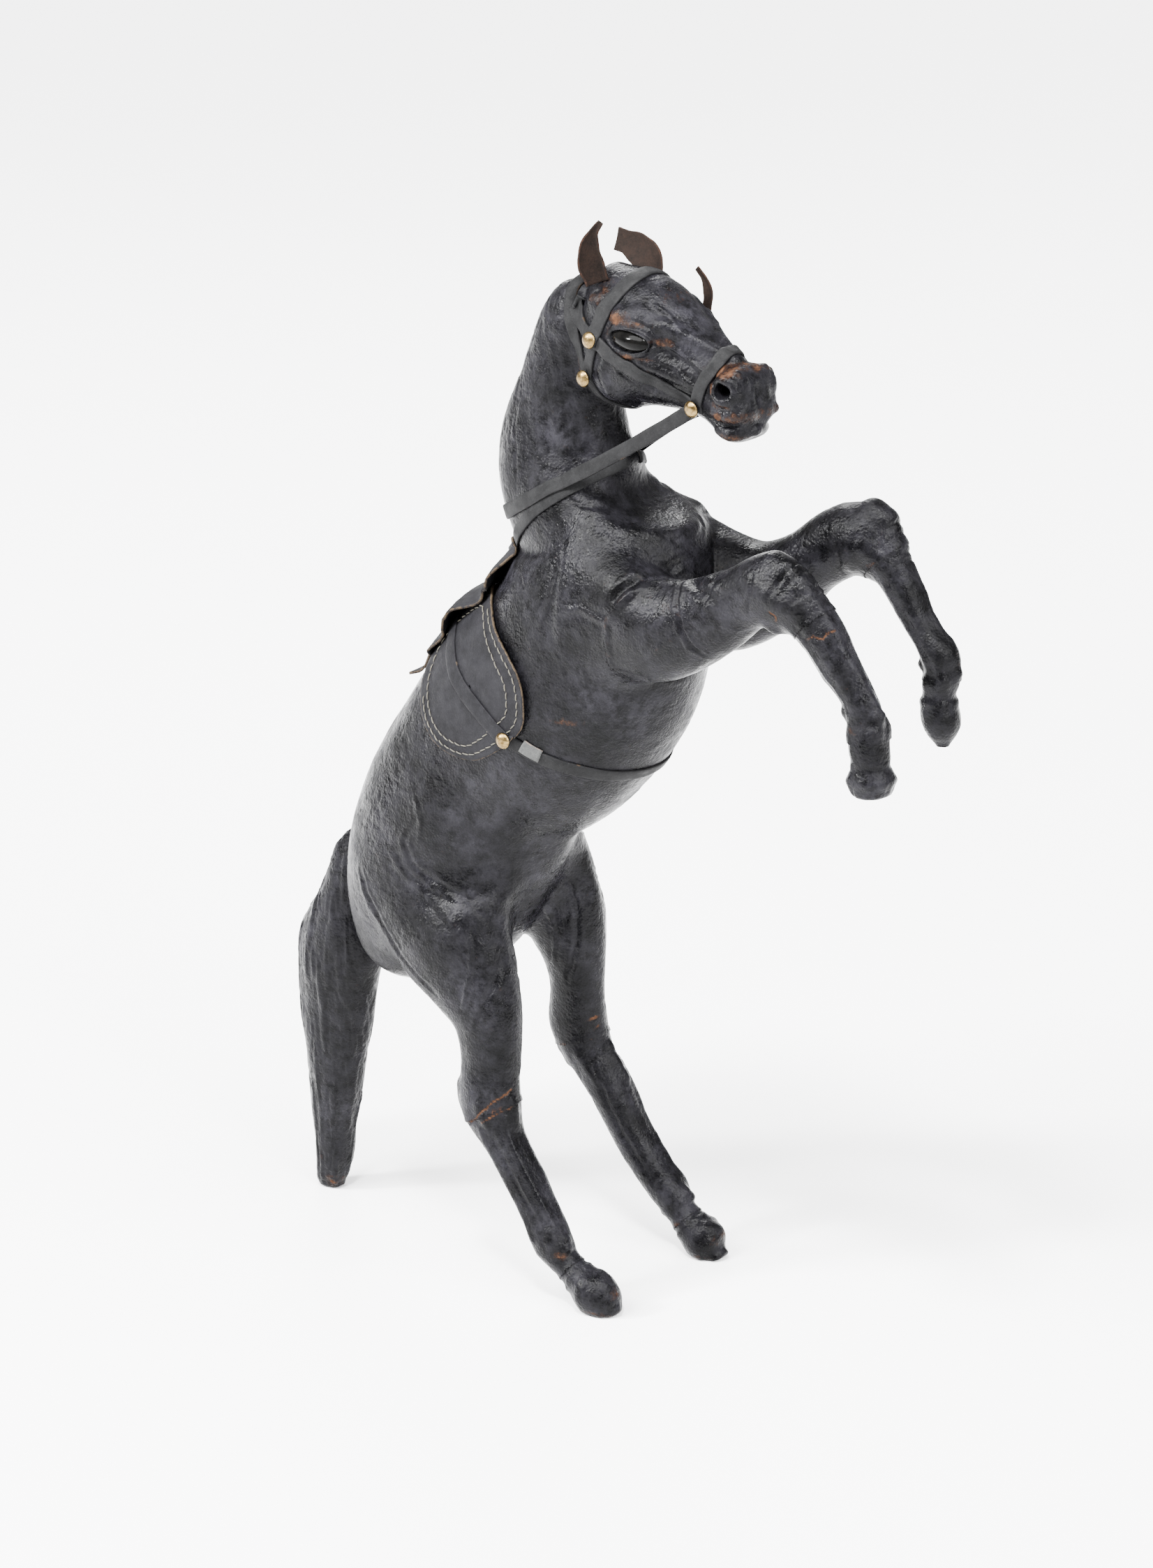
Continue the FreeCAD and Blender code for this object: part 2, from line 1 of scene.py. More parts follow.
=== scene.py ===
"""Looks of the leather-covered rearing horse: sculpted leather panels, tack, floor and light.

The leather is one signed-distance sculpture, made from the CAD cores, then cut into the
same panels as the CAD model. All lengths in this script are millimetres until a mesh is
made. X is forward, Y is the horse's left and Z is up.
"""
import bpy
import math
import numpy as np
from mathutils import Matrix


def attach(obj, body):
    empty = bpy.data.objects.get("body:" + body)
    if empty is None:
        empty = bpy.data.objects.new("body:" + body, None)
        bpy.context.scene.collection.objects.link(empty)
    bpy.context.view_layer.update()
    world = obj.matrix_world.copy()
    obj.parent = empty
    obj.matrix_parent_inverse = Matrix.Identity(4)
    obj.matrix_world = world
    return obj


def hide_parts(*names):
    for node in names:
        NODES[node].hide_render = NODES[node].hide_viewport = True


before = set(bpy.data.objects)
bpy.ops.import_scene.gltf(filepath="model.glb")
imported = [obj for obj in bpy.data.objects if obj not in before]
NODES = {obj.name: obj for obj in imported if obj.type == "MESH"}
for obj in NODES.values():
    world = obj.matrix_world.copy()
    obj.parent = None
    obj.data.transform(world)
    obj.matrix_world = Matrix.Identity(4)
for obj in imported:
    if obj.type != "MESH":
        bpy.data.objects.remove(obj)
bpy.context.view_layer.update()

import openvdb
from mathutils import Matrix, Vector
from mathutils.bvhtree import BVHTree

SIDES = (("right", -1), ("left", 1))
HIDE = 1.2                # leather thickness, as in the CAD model
STRAP = 1.4               # and that of the tack
TURNED_IN = 1.4           # how far a lapping edge is turned in towards the core
BODY_VOXEL = 1.15
HEAD_VOXEL = 0.5
REACH = 9.0               # how far from the surface the distances are kept
WIRE_REACH = 3.0
FAR = 100.0               # stands for any distance beyond that
HEAD_TURN = math.radians(-9)
POLL_X = -2.0             # the head turns about this place
LOOK_FROM = 110.0         # how far out to the side a ray starts that looks for the surface
LOOK_REACH = 109.0        # and how far it runs

# Each CAD core, and how widely it blends into the ones before it. The wires fill the
# channels in the cores.
PARTS = [("torso_core", 0.0), ("neck_core", 7.0), ("head_core", 4.0), ("right_hind_core", 9.0),
         ("left_hind_core", 9.0), ("right_fore_core", 8.0), ("left_fore_core", 8.0), ("tail_core", 5.0)]
PARTS += [(node, 0.0) for node in sorted(NODES) if node.endswith("_wire")]
LEATHERS = sorted(n for n in NODES if n.endswith("_leather") or n.endswith("_boot"))


# ---------------------------------------------------------------- numbers and noise
TABLE = np.random.default_rng(11).random(4096) * 2 - 1
HASH_PRIMES = (73856093, 19349663, 83492791)


def value_noise(p, seed):
    """Smooth noise from -1 to 1 on a unit lattice."""
    q = p + seed * 7.31
    cell = np.floor(q).astype(np.int64)
    f = q - cell
    f = f * f * (3 - 2 * f)
    total = np.zeros(len(p))
    for corner in np.ndindex(2, 2, 2):
        key, weight = seed * 2654435761, 1.0
        for axis, step in enumerate(corner):
            key = key ^ ((cell[:, axis] + step) * HASH_PRIMES[axis])
            weight = weight * (f[:, axis] if step else 1 - f[:, axis])
        total += TABLE[key & 4095] * weight
    return total


def fbm(p, wavelength, octaves, seed, along=None, stretch=1.0):
    """Summed noise; with a direction given, its features are stretched along it."""
    q = p / wavelength
    if along is not None:
        d = np.asarray(along, float)
        d /= np.linalg.norm(d)
        run = q @ d
        q = q + np.outer(run * (1 / stretch - 1), d)
    total = 0
    size = 1.0
    for octave in range(octaves):
        total = total + value_noise(q * 2 ** octave, seed + octave) * size
        size *= 0.5
    return total


def smooth_step(low, high, x):
    t = np.clip((x - low) / (high - low), 0, 1)
    return t * t * (3 - 2 * t)


def unit(v):
    v = np.asarray(v, float)
    return v / np.linalg.norm(v, axis=-1, keepdims=True).clip(1e-9)


def circle(steps, more=0):
    """Angles evenly round a circle; with more=1 the first comes again at the end."""
    return [2 * math.pi * k / steps for k in range(steps + more)]


def turned(p, turn=HEAD_TURN):
    """From the straight-ahead head to the head as it is turned."""
    p = np.asarray(p, float)
    c, s = math.cos(turn), math.sin(turn)
    x = p[..., 0] - POLL_X
    return np.stack([POLL_X + c * x - s * p[..., 1], s * x + c * p[..., 1], p[..., 2]], -1)


def side_way(side, on_head=True):
    """The direction out to a side."""
    place_of = turned if on_head else np.asarray
    return place_of((POLL_X, side, 0.0)) - place_of((POLL_X, 0.0, 0.0))


# ---------------------------------------------------------------- distance fields
def triangles_of(node):
    mesh = NODES[node].data
    mesh.calc_loop_triangles()
    co = np.empty(len(mesh.vertices) * 3, np.float32)
    mesh.vertices.foreach_get("co", co)
    tri = np.empty(len(mesh.loop_triangles) * 3, np.int32)
    mesh.loop_triangles.foreach_get("vertices", tri)
    return co.reshape(-1, 3) * 1000, tri.reshape(-1, 3)


class Field:
    """Signed distances on a box-shaped grid, negative inside the leather's surface."""

    def __init__(self, low, high, voxel):
        self.voxel = voxel
        self.first = np.floor(np.asarray(low) / voxel).astype(int)
        last = np.ceil(np.asarray(high) / voxel).astype(int)
        self.shape = tuple(last - self.first + 1)
        self.values = np.full(self.shape, FAR, np.float32)

    def of_node(self, node, grow, reach=REACH):
        points, tris = triangles_of(node)
        low = self.first * self.voxel - reach
        high = (self.first + self.shape) * self.voxel + reach
        if (points.max(0) < low).any() or (points.min(0) > high).any():
            return None
        grid = openvdb.FloatGrid.createLevelSetFromPolygons(
            points, triangles=tris.astype(np.uint32),
            transform=openvdb.createLinearTransform(voxelSize=self.voxel),
            halfWidth=reach / self.voxel)
        found = np.empty(self.shape, np.float32)
        grid.copyToArray(found, ijk=tuple(int(i) for i in self.first))
        found[found >= reach - 0.01] = FAR
        found[found <= 0.01 - reach] = -FAR
        return found - grow

    def window(self, low, high):
        """Grid slices and coordinates of the part of the grid in a box."""
        a = np.clip(np.floor(np.asarray(low) / self.voxel).astype(int) - self.first, 0, self.shape)
        b = np.clip(np.ceil(np.asarray(high) / self.voxel).astype(int) - self.first + 1, 0, self.shape)
        axes = [(np.arange(a[i], b[i]) + self.first[i]) * self.voxel for i in range(3)]
        where = tuple(slice(a[i], b[i]) for i in range(3))
        return where, np.meshgrid(*axes, indexing="ij")

    def mesh(self):
        grid = openvdb.FloatGrid(FAR)
        grid.transform = openvdb.createLinearTransform(voxelSize=self.voxel)
        grid.copyFromArray(self.values, ijk=tuple(int(i) for i in self.first))
        points, quads = grid.convertToQuads(isovalue=0.0)
        points = np.asarray(points, float)
        quads = np.asarray(quads, np.int64)
        corner = points[quads[::50]]
        face = np.cross(corner[:, 2] - corner[:, 0], corner[:, 3] - corner[:, 1])
        if (face * (corner[:, 0] - points.mean(0))).sum() < 0:
            quads = quads[:, ::-1]
        edge = self.voxel * 2.5
        low = self.first * self.voxel + edge
        high = (self.first + np.array(self.shape) - 1) * self.voxel - edge
        kept = ((points > low) & (points < high)).all(1)
        return points, quads[kept[quads].all(1)]

    def surface(self, start, inward):
        """The first point on the surface, going inward from a start outside."""
        start = np.asarray(start, float)
        inward = unit(inward)
        path = start + inward * np.arange(0, 60, 0.25)[:, None]
        cell = np.round(path / self.voxel).astype(int) - self.first
        within = ((cell >= 0) & (cell < np.array(self.shape))).all(1)
        cell = cell.clip(0, np.array(self.shape) - 1)
        value = np.where(within, self.values[cell[:, 0], cell[:, 1], cell[:, 2]], FAR)
        inside = value < 0
        return path[np.argmax(inside)] if inside.any() else start

    def blend_in(self, where, other, blend, carve=False):
        """Adds a shape smoothly to part of the field, or carves it away."""
        sign = -1 if carve else 1
        here = self.values[where] * sign
        mix = np.maximum(blend - np.abs(here - other), 0) / (blend or 1)
        self.values[where] = (np.minimum(here, other) - mix * mix * blend / 4) * sign

    def chain(self, points, radii, blend, carve=False):
        """A string of rounded rods through the points, with a radius at each."""
        points = np.asarray(points, float)
        radii = np.broadcast_to(radii, len(points)).astype(float)
        margin = radii.max() + blend + self.voxel
        where, (x, y, z) = self.window(points.min(0) - margin, points.max(0) + margin)
        found = np.full(x.shape, 1e3)
        for a, b, ra, rb in zip(points, points[1:], radii, radii[1:]):
            run = b - a
            t = ((x - a[0]) * run[0] + (y - a[1]) * run[1] + (z - a[2]) * run[2]) / (run @ run)
            t = np.clip(t, 0, 1)
            gap = np.sqrt((x - a[0] - t * run[0]) ** 2 + (y - a[1] - t * run[1]) ** 2
                          + (z - a[2] - t * run[2]) ** 2)
            found = np.minimum(found, gap - ra - (rb - ra) * t)
        self.blend_in(where, found.astype(np.float32), blend, carve)

    def lump(self, centre, radii, blend, carve=False, turn=0.0):
        """An ellipsoid, turned about the vertical."""
        centre = np.asarray(centre, float)
        radii = np.asarray(radii, float)
        margin = radii.max() + blend + self.voxel
        where, axes = self.window(centre - margin, centre + margin)
        spin = Matrix.Rotation(turn, 3, "Z").transposed()
        p = np.stack([a - c for a, c in zip(axes, centre)], -1) @ np.array(spin).T / radii
        found = (np.sqrt((p ** 2).sum(-1)) - 1) * radii.min()
        self.blend_in(where, found.astype(np.float32), blend, carve)

    def lumps(self, rows, place_of=np.asarray, turn=0.0):
        """Ellipsoids from rows of centre, radii, blend and carve; on both sides if off the middle."""
        for (x, y, z), radii, blend, carve in rows:
            for side in (1, -1) if y else (1,):
                self.lump(place_of((x, y * side, z)), radii, blend, carve, turn)


def body_field(low, high, voxel):
    field = Field(low, high, voxel)
    for node, blend in PARTS:
        found = field.of_node(node, HIDE, WIRE_REACH if node.endswith("_wire") else REACH)
        if found is not None:
            field.blend_in(..., found, blend)
    return field


# ---------------------------------------------------------------- head sculpture
# Features of the straight-ahead head on both sides: points in side view, radii, how far
# the middle lies below the surface, blend, carve.
HEAD_CHAINS = [
    ([(33, 553), (46, 554.5), (56, 550)], (3.0, 3.6, 2.6), 1.5, 5, False),  # brow bone
    ([(50, 531), (64, 527.5), (77, 523.5)], (1.6, 2.3, 1.4), 0.8, 4, False),  # face crest
    ([(60, 551), (78, 543.5), (96, 537)], (3.0, 3.0, 2.4), 1.6, 4, False),  # nose bone
    ([(56, 519), (72, 513)], (4.2, 3.2), -2.4, 6, True),  # cheek hollow
    ([(60, 540), (69, 537), (78, 534)], (2.2, 2.6, 1.6), -1.4, 4, True),  # tear hollow
    ([(62, 533), (70, 531), (75, 526), (84, 522)], 0.8, 0.1, 1.4, False),  # veins
    ([(66, 541), (76, 535.5), (86, 531)], 0.7, 0.1, 1.4, False),
    ([(68, 521), (79, 518.5), (86, 513.5)], 0.7, 0.1, 1.3, False),
    ([(52, 560), (60, 556), (70, 549)], 0.7, 0.1, 1.4, False),
    ([(28, 531), (24, 522), (26, 511), (33, 503)], (1.4, 1.8, 1.6, 1.0), 0.3, 4, False),  # jaw edge
    ([(115, 509), (108, 506.5), (100, 506), (92, 508), (87, 511)], (1.5, 1.5, 1.4, 1.2, 0.7), -0.2,
     0.8, True),  # mouth
    ([(112, 503.5), (104, 501.5), (96, 502.5)], (2.2, 2.8, 1.8), 1.0, 2.5, False),  # lower lip
    ([(112, 512.5), (104, 511), (95, 512.5)], (2.0, 2.6, 1.8), 1.2, 2.5, False),  # upper lip
    ([(106, 533), (108.5, 526), (109, 518)], (2.0, 2.0, 1.8), 1.4, 3, False),  # nose rim
    ([(90, 533), (93, 527), (92, 519)], (1.2, 1.5, 1.0), -0.7, 2, True),  # behind the nostril
    ([(42, 528), (50, 524), (58, 522)], 0.9, -0.4, 1.2, True),  # cheek wrinkles
    ([(36, 524), (44, 519), (50, 513)], 0.8, -0.4, 1.2, True),
    ([(59.5, 541.5), (54, 547.4), (44, 550.2), (34.5, 548.4), (27.5, 541.8)], (1.1, 2.0, 2.5, 2.2, 1.0),
     0.6, 1.2, False),  # eyelids
    ([(59.5, 540.8), (52, 535.9), (43, 533.8), (34.5, 535.4), (27.5, 541.0)], (1.0, 1.6, 1.8, 1.6, 0.9),
     0.6, 1.2, False),
    ([(55, 551.0), (44, 554.0), (33, 551.5)], (0.7, 1.1, 0.8), 0.6, 1.2, False),
]
EYE_OPENING = (43.8, 31.0, 541.6)
EYE_OPENING_RADII = (15.8, 12.0, 6.0)
NOSTRIL = (102.2, 524.6)  # x and z
NOSTRIL_RING = (6.6, 5.8)
NAPE = ((-9, 8, 554), (9, 9, 9), 6, False)
HEAD_LUMPS = [
    NAPE,
    ((20, 15.5, 521), (15, 8, 14), 6, False),  # jaw
    ((15, 18, 556), (6, 5, 5), 5, False),  # behind the eye, below the ear
    ((84, 0, 496), (8, 16, 5.5), 5, True),  # behind the chin
    ((101, 5, 501.5), (9, 9, 5.5), 3, False),  # lower lip
    ((108, 8, 513.5), (6, 7, 5.5), 4, False),  # upper lip
    ((103, 8, 530), (6, 6.5, 4.5), 4, False),  # tip of the nose
    ((115, 0, 523), (4, 3, 6), 4, True),  # between the nostrils
    ((120, 0, 541), (12, 30, 9.5), 4, True),  # slope of the nose
]


def head_surface(field, x, z, side):
    """A point of the head's surface, from its place in side view."""
    start = turned((x, 45.0 * side, z))
    return field.surface(start, turned((x, 0.0, z)) - start)


def sculpt_head(field):
    eyes = np.minimum(field.of_node("right_eye", 0.2), field.of_node("left_eye", 0.2))
    field.blend_in(..., eyes, 3.0)
    field.lumps(HEAD_LUMPS, turned, HEAD_TURN)
    for side in (1, -1):
        out = side_way(side)
        for points, radii, sink, blend, carve in HEAD_CHAINS:
            places = [head_surface(field, x, z, side) for x, z in points]
            field.chain(np.array(places) - out * sink, radii, blend, carve)
        place = np.array(EYE_OPENING) * (1, side, 1)
        field.lump(turned(place), EYE_OPENING_RADII, 0.4, True, HEAD_TURN)
        # a thick rim round each nostril, its hole running back into the nose
        ring = [head_surface(field, NOSTRIL[0] + NOSTRIL_RING[0] * math.cos(a),
                             NOSTRIL[1] + NOSTRIL_RING[1] * math.sin(a), side) for a in circle(16, 1)]
        field.chain(np.array(ring) + out * 0.3, 2.6, 2.0)
        for shift in (-1.4, 1.4):
            rim = head_surface(field, NOSTRIL[0] + shift, NOSTRIL[1], side)
            inner = rim - out * 8 - (turned((4.0, 0, 0)) - turned((0.0, 0, 0)))
            field.chain([rim + out * 2, rim - out * 2, inner], (3.8, 3.5, 2.2), 0.8, True)


# ---------------------------------------------------------------- leg sculpture
# The axis of each lower leg, from knee or hock to hoof: x, z, how thick it is, y.
LEGS = {
    "right_fore": [(139, 428, 18, -40), (151, 424.5, 15, -41), (162, 417, 12, -41), (171, 407, 11, -41),
                   (179.5, 395, 10, -41), (190, 382, 9, -41), (195, 369, 10, -41), (197, 357, 9, -41),
                   (198.5, 345, 11.5, -41), (199.5, 331, 10.5, -41)],
    "left_fore": [(141.5, 436.5, 18, 39), (152.5, 429, 13, 39), (160.5, 419, 10.5, 39),
                  (169.5, 405, 9, 39), (179.5, 391, 8, 39), (188, 380.5, 10, 39), (188, 373, 9, 39),
                  (188, 367, 8, 39), (188, 353.5, 11, 39), (190, 336, 6, 39)],
    "right_hind": [(-45, 119.5, 16, -42), (-43.5, 101, 16, -43), (-35.5, 86, 13, -44), (-21.5, 67, 11, -45),
                   (-7, 46, 11, -46), (4, 28.5, 11, -47), (13.5, 20, 8.5, -47), (23.5, 13.5, 11, -47),
                   (34, 6, 12, -47)],
    "left_hind": [(-48, 117.5, 16, 44), (-41, 103, 14, 45), (-29, 86, 12, 46), (-13.5, 60, 11, 47),
                  (2.5, 40, 10.5, 47.5), (15.5, 27.5, 10, 47.5), (23.5, 18, 9, 47.5), (31, 12, 11.5, 47.5),
                  (38, 6, 12, 47.5)],
}
TAIL_END = (-191.5, 0.5)  # x and z
TAIL_RING = 12.5
# Hollows where the front of the neck meets the chest: centre, radii, blend, carve.
THROAT = [((46, 26, 456.5), (30, 30, 15.5), 8, True), ((50, 0, 456.5), (27, 30, 15.5), 8, True)]
# Bones, tendons and folds: leg, radii, how far the middle lies below the surface, blend, carve
# and points as (place down the axis, degrees round it from the front towards the outside).
LEG_CHAINS = [
    ("fore", (5.0, 6.2, 4.0), 3.7, 6, False, [(-0.3, 10), (0.3, 10), (1.0, 5)]),  # kneecap
    ("left_fore", 6.0, 3.6, 5, False, [(-0.5, 0), (0.1, 0)]),
    ("fore", (3.0, 4.0, 3.0), 2.8, 5, False, [(0.4, 75), (0.9, 80), (1.4, 70)]),  # knee bones
    ("fore", (3.0, 4.0, 3.0), 2.8, 5, False, [(0.3, -75), (0.8, -70), (1.3, -75)]),
    ("fore", 4.2, 2.4, 5, False, [(0.6, 170), (1.1, 180)]),  # back of knee
    ("fore", (0.5, 0.8, 0.5), -0.2, 1.4, True, [(0.8, -70), (1.0, 0), (0.8, 70)]),  # knee folds
    ("fore", (0.5, 0.7, 0.5), -0.2, 1.4, True, [(1.2, -60), (1.35, 10), (1.2, 80)]),
    ("fore", (0.6, 1.0, 0.6), -0.2, 1.2, True, [(1.6, -40), (1.7, 30), (1.5, 90)]),
    ("fore", (0.6, 1.0, 0.6), -0.2, 1.2, True, [(0.5, -50), (0.6, 20), (0.4, 80)]),
    ("fore", (1.6, 2.2, 2.2, 2.6), 0.9, 2.4, False, [(1.8, 20), (3.0, 25), (4.4, 15), (5.8, 5)]),
    ("fore", (1.4, 2.4, 2.6, 3.0), 0.9, 2.4, False, [(1.7, 165), (3.0, 165), (4.4, 170), (5.6, 175)]),
    ("fore", (1.0, 1.8, 1.5, 1.0), -0.8, 2.2, True, [(2.0, 105), (3.2, 110), (4.4, 110), (5.4, 115)]),
    ("fore", (1.0, 1.8, 1.5, 1.0), -0.8, 2.2, True, [(2.0, -95), (3.2, -100), (4.4, -100), (5.4, -95)]),
    ("fore", 3.4, 1.4, 2.5, False, [(5.9, 10), (6.25, 30)]),  # fetlock
    ("fore", 3.0, 1.2, 2.5, False, [(6.0, -45), (6.3, -40)]),
    ("fore", 2.8, 0.8, 2.0, False, [(5.4, 175), (5.7, 185)]),
    ("fore", 1.1, 0.7, 2.5, False, [(7.7, -150), (7.6, -60), (7.75, 0), (7.6, 70), (7.8, 150)]),  # coronet
    ("right_fore", 5.0, 4.0, 5, False, [(6.5, -180), (6.5, 0), (6.5, 180)]),  # pastern
    ("right_fore", 5.0, 4.0, 5, False, [(7.2, -180), (7.2, 0), (7.2, 180)]),
    ("left_fore", 4.0, 3.4, 5, False, [(6.9, -180), (6.9, 0), (6.9, 180)]),
    ("right_fore", 5.0, -4.5, 3, True, [(8.8, -180), (8.8, 0), (8.8, 180)]),  # hoof
    ("fore", 1.3, -0.3, 1.4, True, [(8.2, 110), (8.9, 130)]),
    ("hind", 6.0, 3.0, 4, False, [(0.5, 178), (0.95, 180)]),  # point of hock
    ("hind", (3.0, 3.6, 2.4), 1.6, 3, False, [(0.8, 80), (1.3, 75), (1.8, 70)]),
    ("hind", (3.0, 3.6, 2.4), 1.6, 3, False, [(0.8, -80), (1.3, -75), (1.8, -70)]),
    ("hind", (2.2, 3.0, 2.2), 1.2, 3, False, [(0.9, 10), (1.4, 5), (2.0, 10)]),
    ("hind", (1.8, 2.2, 2.2, 2.0), 0.9, 2, False, [(1.5, 30), (2.4, 40), (3.4, 38), (4.4, 30)]),
    ("hind", (0.9, 1.5, 1.4, 0.9), -0.5, 1.4, True, [(1.4, 66), (2.2, 78), (3.2, 80), (4.3, 72)]),
    ("hind", (0.9, 1.5, 1.4, 0.9), -0.5, 1.4, True, [(1.4, -60), (2.2, -75), (3.2, -78), (4.3, -70)]),
    ("hind", (1.8, 2.2, 2.2, 2.0), 0.9, 2, False, [(1.6, 100), (2.4, 115), (3.4, 118), (4.5, 120)]),
    ("hind", (1.8, 2.4, 2.6, 2.6), 1.0, 2.5, False, [(1.6, 178), (2.6, 180), (3.6, 180), (4.7, 180)]),
    ("hind", 2.6, 1.5, 3.0, False, [(4.5, 45), (4.8, 55)]),  # fetlock
    ("hind", 2.8, 1.8, 3.0, False, [(5.0, 8), (5.25, 20)]),
    ("hind", 3.2, 1.2, 2.2, False, [(4.9, 170), (5.2, 190)]),
    ("hind", (0.5, 0.9, 0.5), -0.4, 1.3, True, [(5.5, -70), (5.6, 10), (5.5, 80)]),
    ("hind", 1.1, 0.6, 1.6, False, [(6.5, -140), (6.4, -60), (6.6, 0), (6.4, 70), (6.6, 150)]),  # coronet
    ("hind", 3.4, 2.7, 3.4, False, [(7.1, 60), (7.4, 95)]),  # hoof
    ("hind", 3.6, 2.9, 3.4, False, [(7.3, -20), (7.8, 10)]),
    ("hind", 4.0, -2.6, 3.5, True, [(8.95, -80), (8.95, 0), (8.95, 80)]),  # toe
]


def leg_surface(field, leg, at, angle, sink):
    rows = np.array(LEGS[leg], float)
    i = int(np.clip(math.floor(at), 0, len(rows) - 2))
    x, z, thick, y = rows[i] + (rows[i + 1] - rows[i]) * (at - i)
    run = unit(rows[i + 1, :2] - rows[i, :2])
    a = math.radians(angle)
    out = np.array([-run[1] * math.cos(a), math.sin(a) * np.sign(y), run[0] * math.cos(a)])
    centre = np.array([x, y, z])
    return field.surface(centre + out * (thick + 9), -out) - out * sink


def sculpt_legs(field):
    for kind, sizes, sink, blend, carve, turns in LEG_CHAINS:
        downs, angles = np.array(turns, float).T
        key = np.linspace(0, 1, len(turns))
        count = 2 + int(np.abs(np.diff(angles)).sum() / 10)
        steps = np.linspace(0, 1, max(count, len(turns) * 2))
        radii = np.interp(steps, np.linspace(0, 1, np.size(sizes)), np.atleast_1d(sizes))
        for leg in LEGS:
            if leg.endswith(kind):
                places = [leg_surface(field, leg, at, angle, sink)
                          for at, angle in zip(np.interp(steps, key, downs), np.interp(steps, key, angles))]
                field.chain(places, radii, blend, carve)
    # the end of the tail narrows to an uneven stub
    ring = [(TAIL_END[0] + TAIL_RING * math.cos(a), TAIL_RING * math.sin(a),
             TAIL_END[1] + 1.4 * math.sin(3 * a)) for a in circle(24, 1)]
    field.chain(ring, 4.6, 3.0, True)


# ---------------------------------------------------------------- relief on the leather
def edges_of(quads):
    """The four edges of each quad, in its own direction."""
    return np.concatenate([quads[:, [i, (i + 1) % 4]] for i in range(4)])


class Skin:
    """The sculpted surface: points, quads, normals and a wear value at each point."""

    def __init__(self, points, quads):
        used = np.zeros(len(points), bool)
        used[quads] = True
        index = np.cumsum(used) - 1
        self.points = points[used]
        self.quads = index[quads]
        self.pairs = np.unique(np.sort(edges_of(self.quads), 1), axis=0)
        self.degree = np.bincount(self.pairs.ravel(), minlength=len(self.points)).clip(1)
        self.wear = np.zeros(len(self.points))
        self.find_normals()

    def find_normals(self):
        corner = self.points[self.quads]
        face = np.cross(corner[:, 2] - corner[:, 0], corner[:, 3] - corner[:, 1])
        total = np.zeros_like(self.points)
        for i in range(4):
            for axis in range(3):
                total[:, axis] += np.bincount(self.quads[:, i], face[:, axis], len(self.points))
        self.normals = unit(total)

    def touched(self, chosen):
        """Which points the chosen quads use."""
        mask = np.zeros(len(self.points), bool)
        mask[self.quads[chosen]] = True
        return mask

    def averaged(self, values, rounds, keep=0.0):
        a, b = self.pairs.T
        for _ in range(rounds):
            flat = values.reshape(len(values), -1)
            mean = np.stack([np.bincount(a, flat[b, i], len(flat)) + np.bincount(b, flat[a, i], len(flat))
                             for i in range(flat.shape[1])], 1) / self.degree[:, None]
            values = (flat * keep + mean * (1 - keep)).reshape(values.shape)
        return values


def polyline_gap(x, z, line):
    """Distance in side view from points to a line, and how far along the line they are."""
    line = np.asarray(line, float)
    best = np.full(len(x), 1e9)
    share = np.zeros(len(x))
    total = len(line) - 1
    for i, (a, b) in enumerate(zip(line, line[1:])):
        run = b - a
        t = np.clip(((x - a[0]) * run[0] + (z - a[1]) * run[1]) / (run @ run), 0, 1)
        gap = np.hypot(x - a[0] - t * run[0], z - a[1] - t * run[1])
        closer = gap < best
        best = np.where(closer, gap, best)
        share = np.where(closer, (i + t) / total, share)
    return best, share


# Muscles and bones: x, z, side (0 is both), reach along, reach across, slope, height.
SWELLINGS = [
    (40, 418, 0, 26, 15, -30, 2.6),  # point of the shoulder
    (16, 398, 0, 30, 20, 60, 1.4),  # shoulder blade
    (70, 396, 0, 22, 16, 10, 1.2),  # elbow
    (6, 360, 0, 26, 26, 0, -0.8),
    (-20, 300, 0, 24, 34, 60, 1.0),  # ribs
    (-28, 250, 0, 22, 12, 50, -2.4),  # flank
    (-80, 262, 0, 26, 18, 60, 1.6),  # hip
    (-62, 205, 0, 26, 18, 70, 1.4),  # thigh
    (-100, 205, 0, 22, 14, 70, 1.0),
    (-38, 205, 0, 16, 8, 80, -1.2),  # fold in front of the thigh
    (139, 430, 0, 9, 8, 0, 1.0),  # knee
    (-47, 104, 0, 9, 6, 70, 0.8),  # hock
    (-10, 470, 0, 26, 12, 70, 0.8),  # neck
    (-38, 440, 0, 20, 8, 70, -0.8),
]
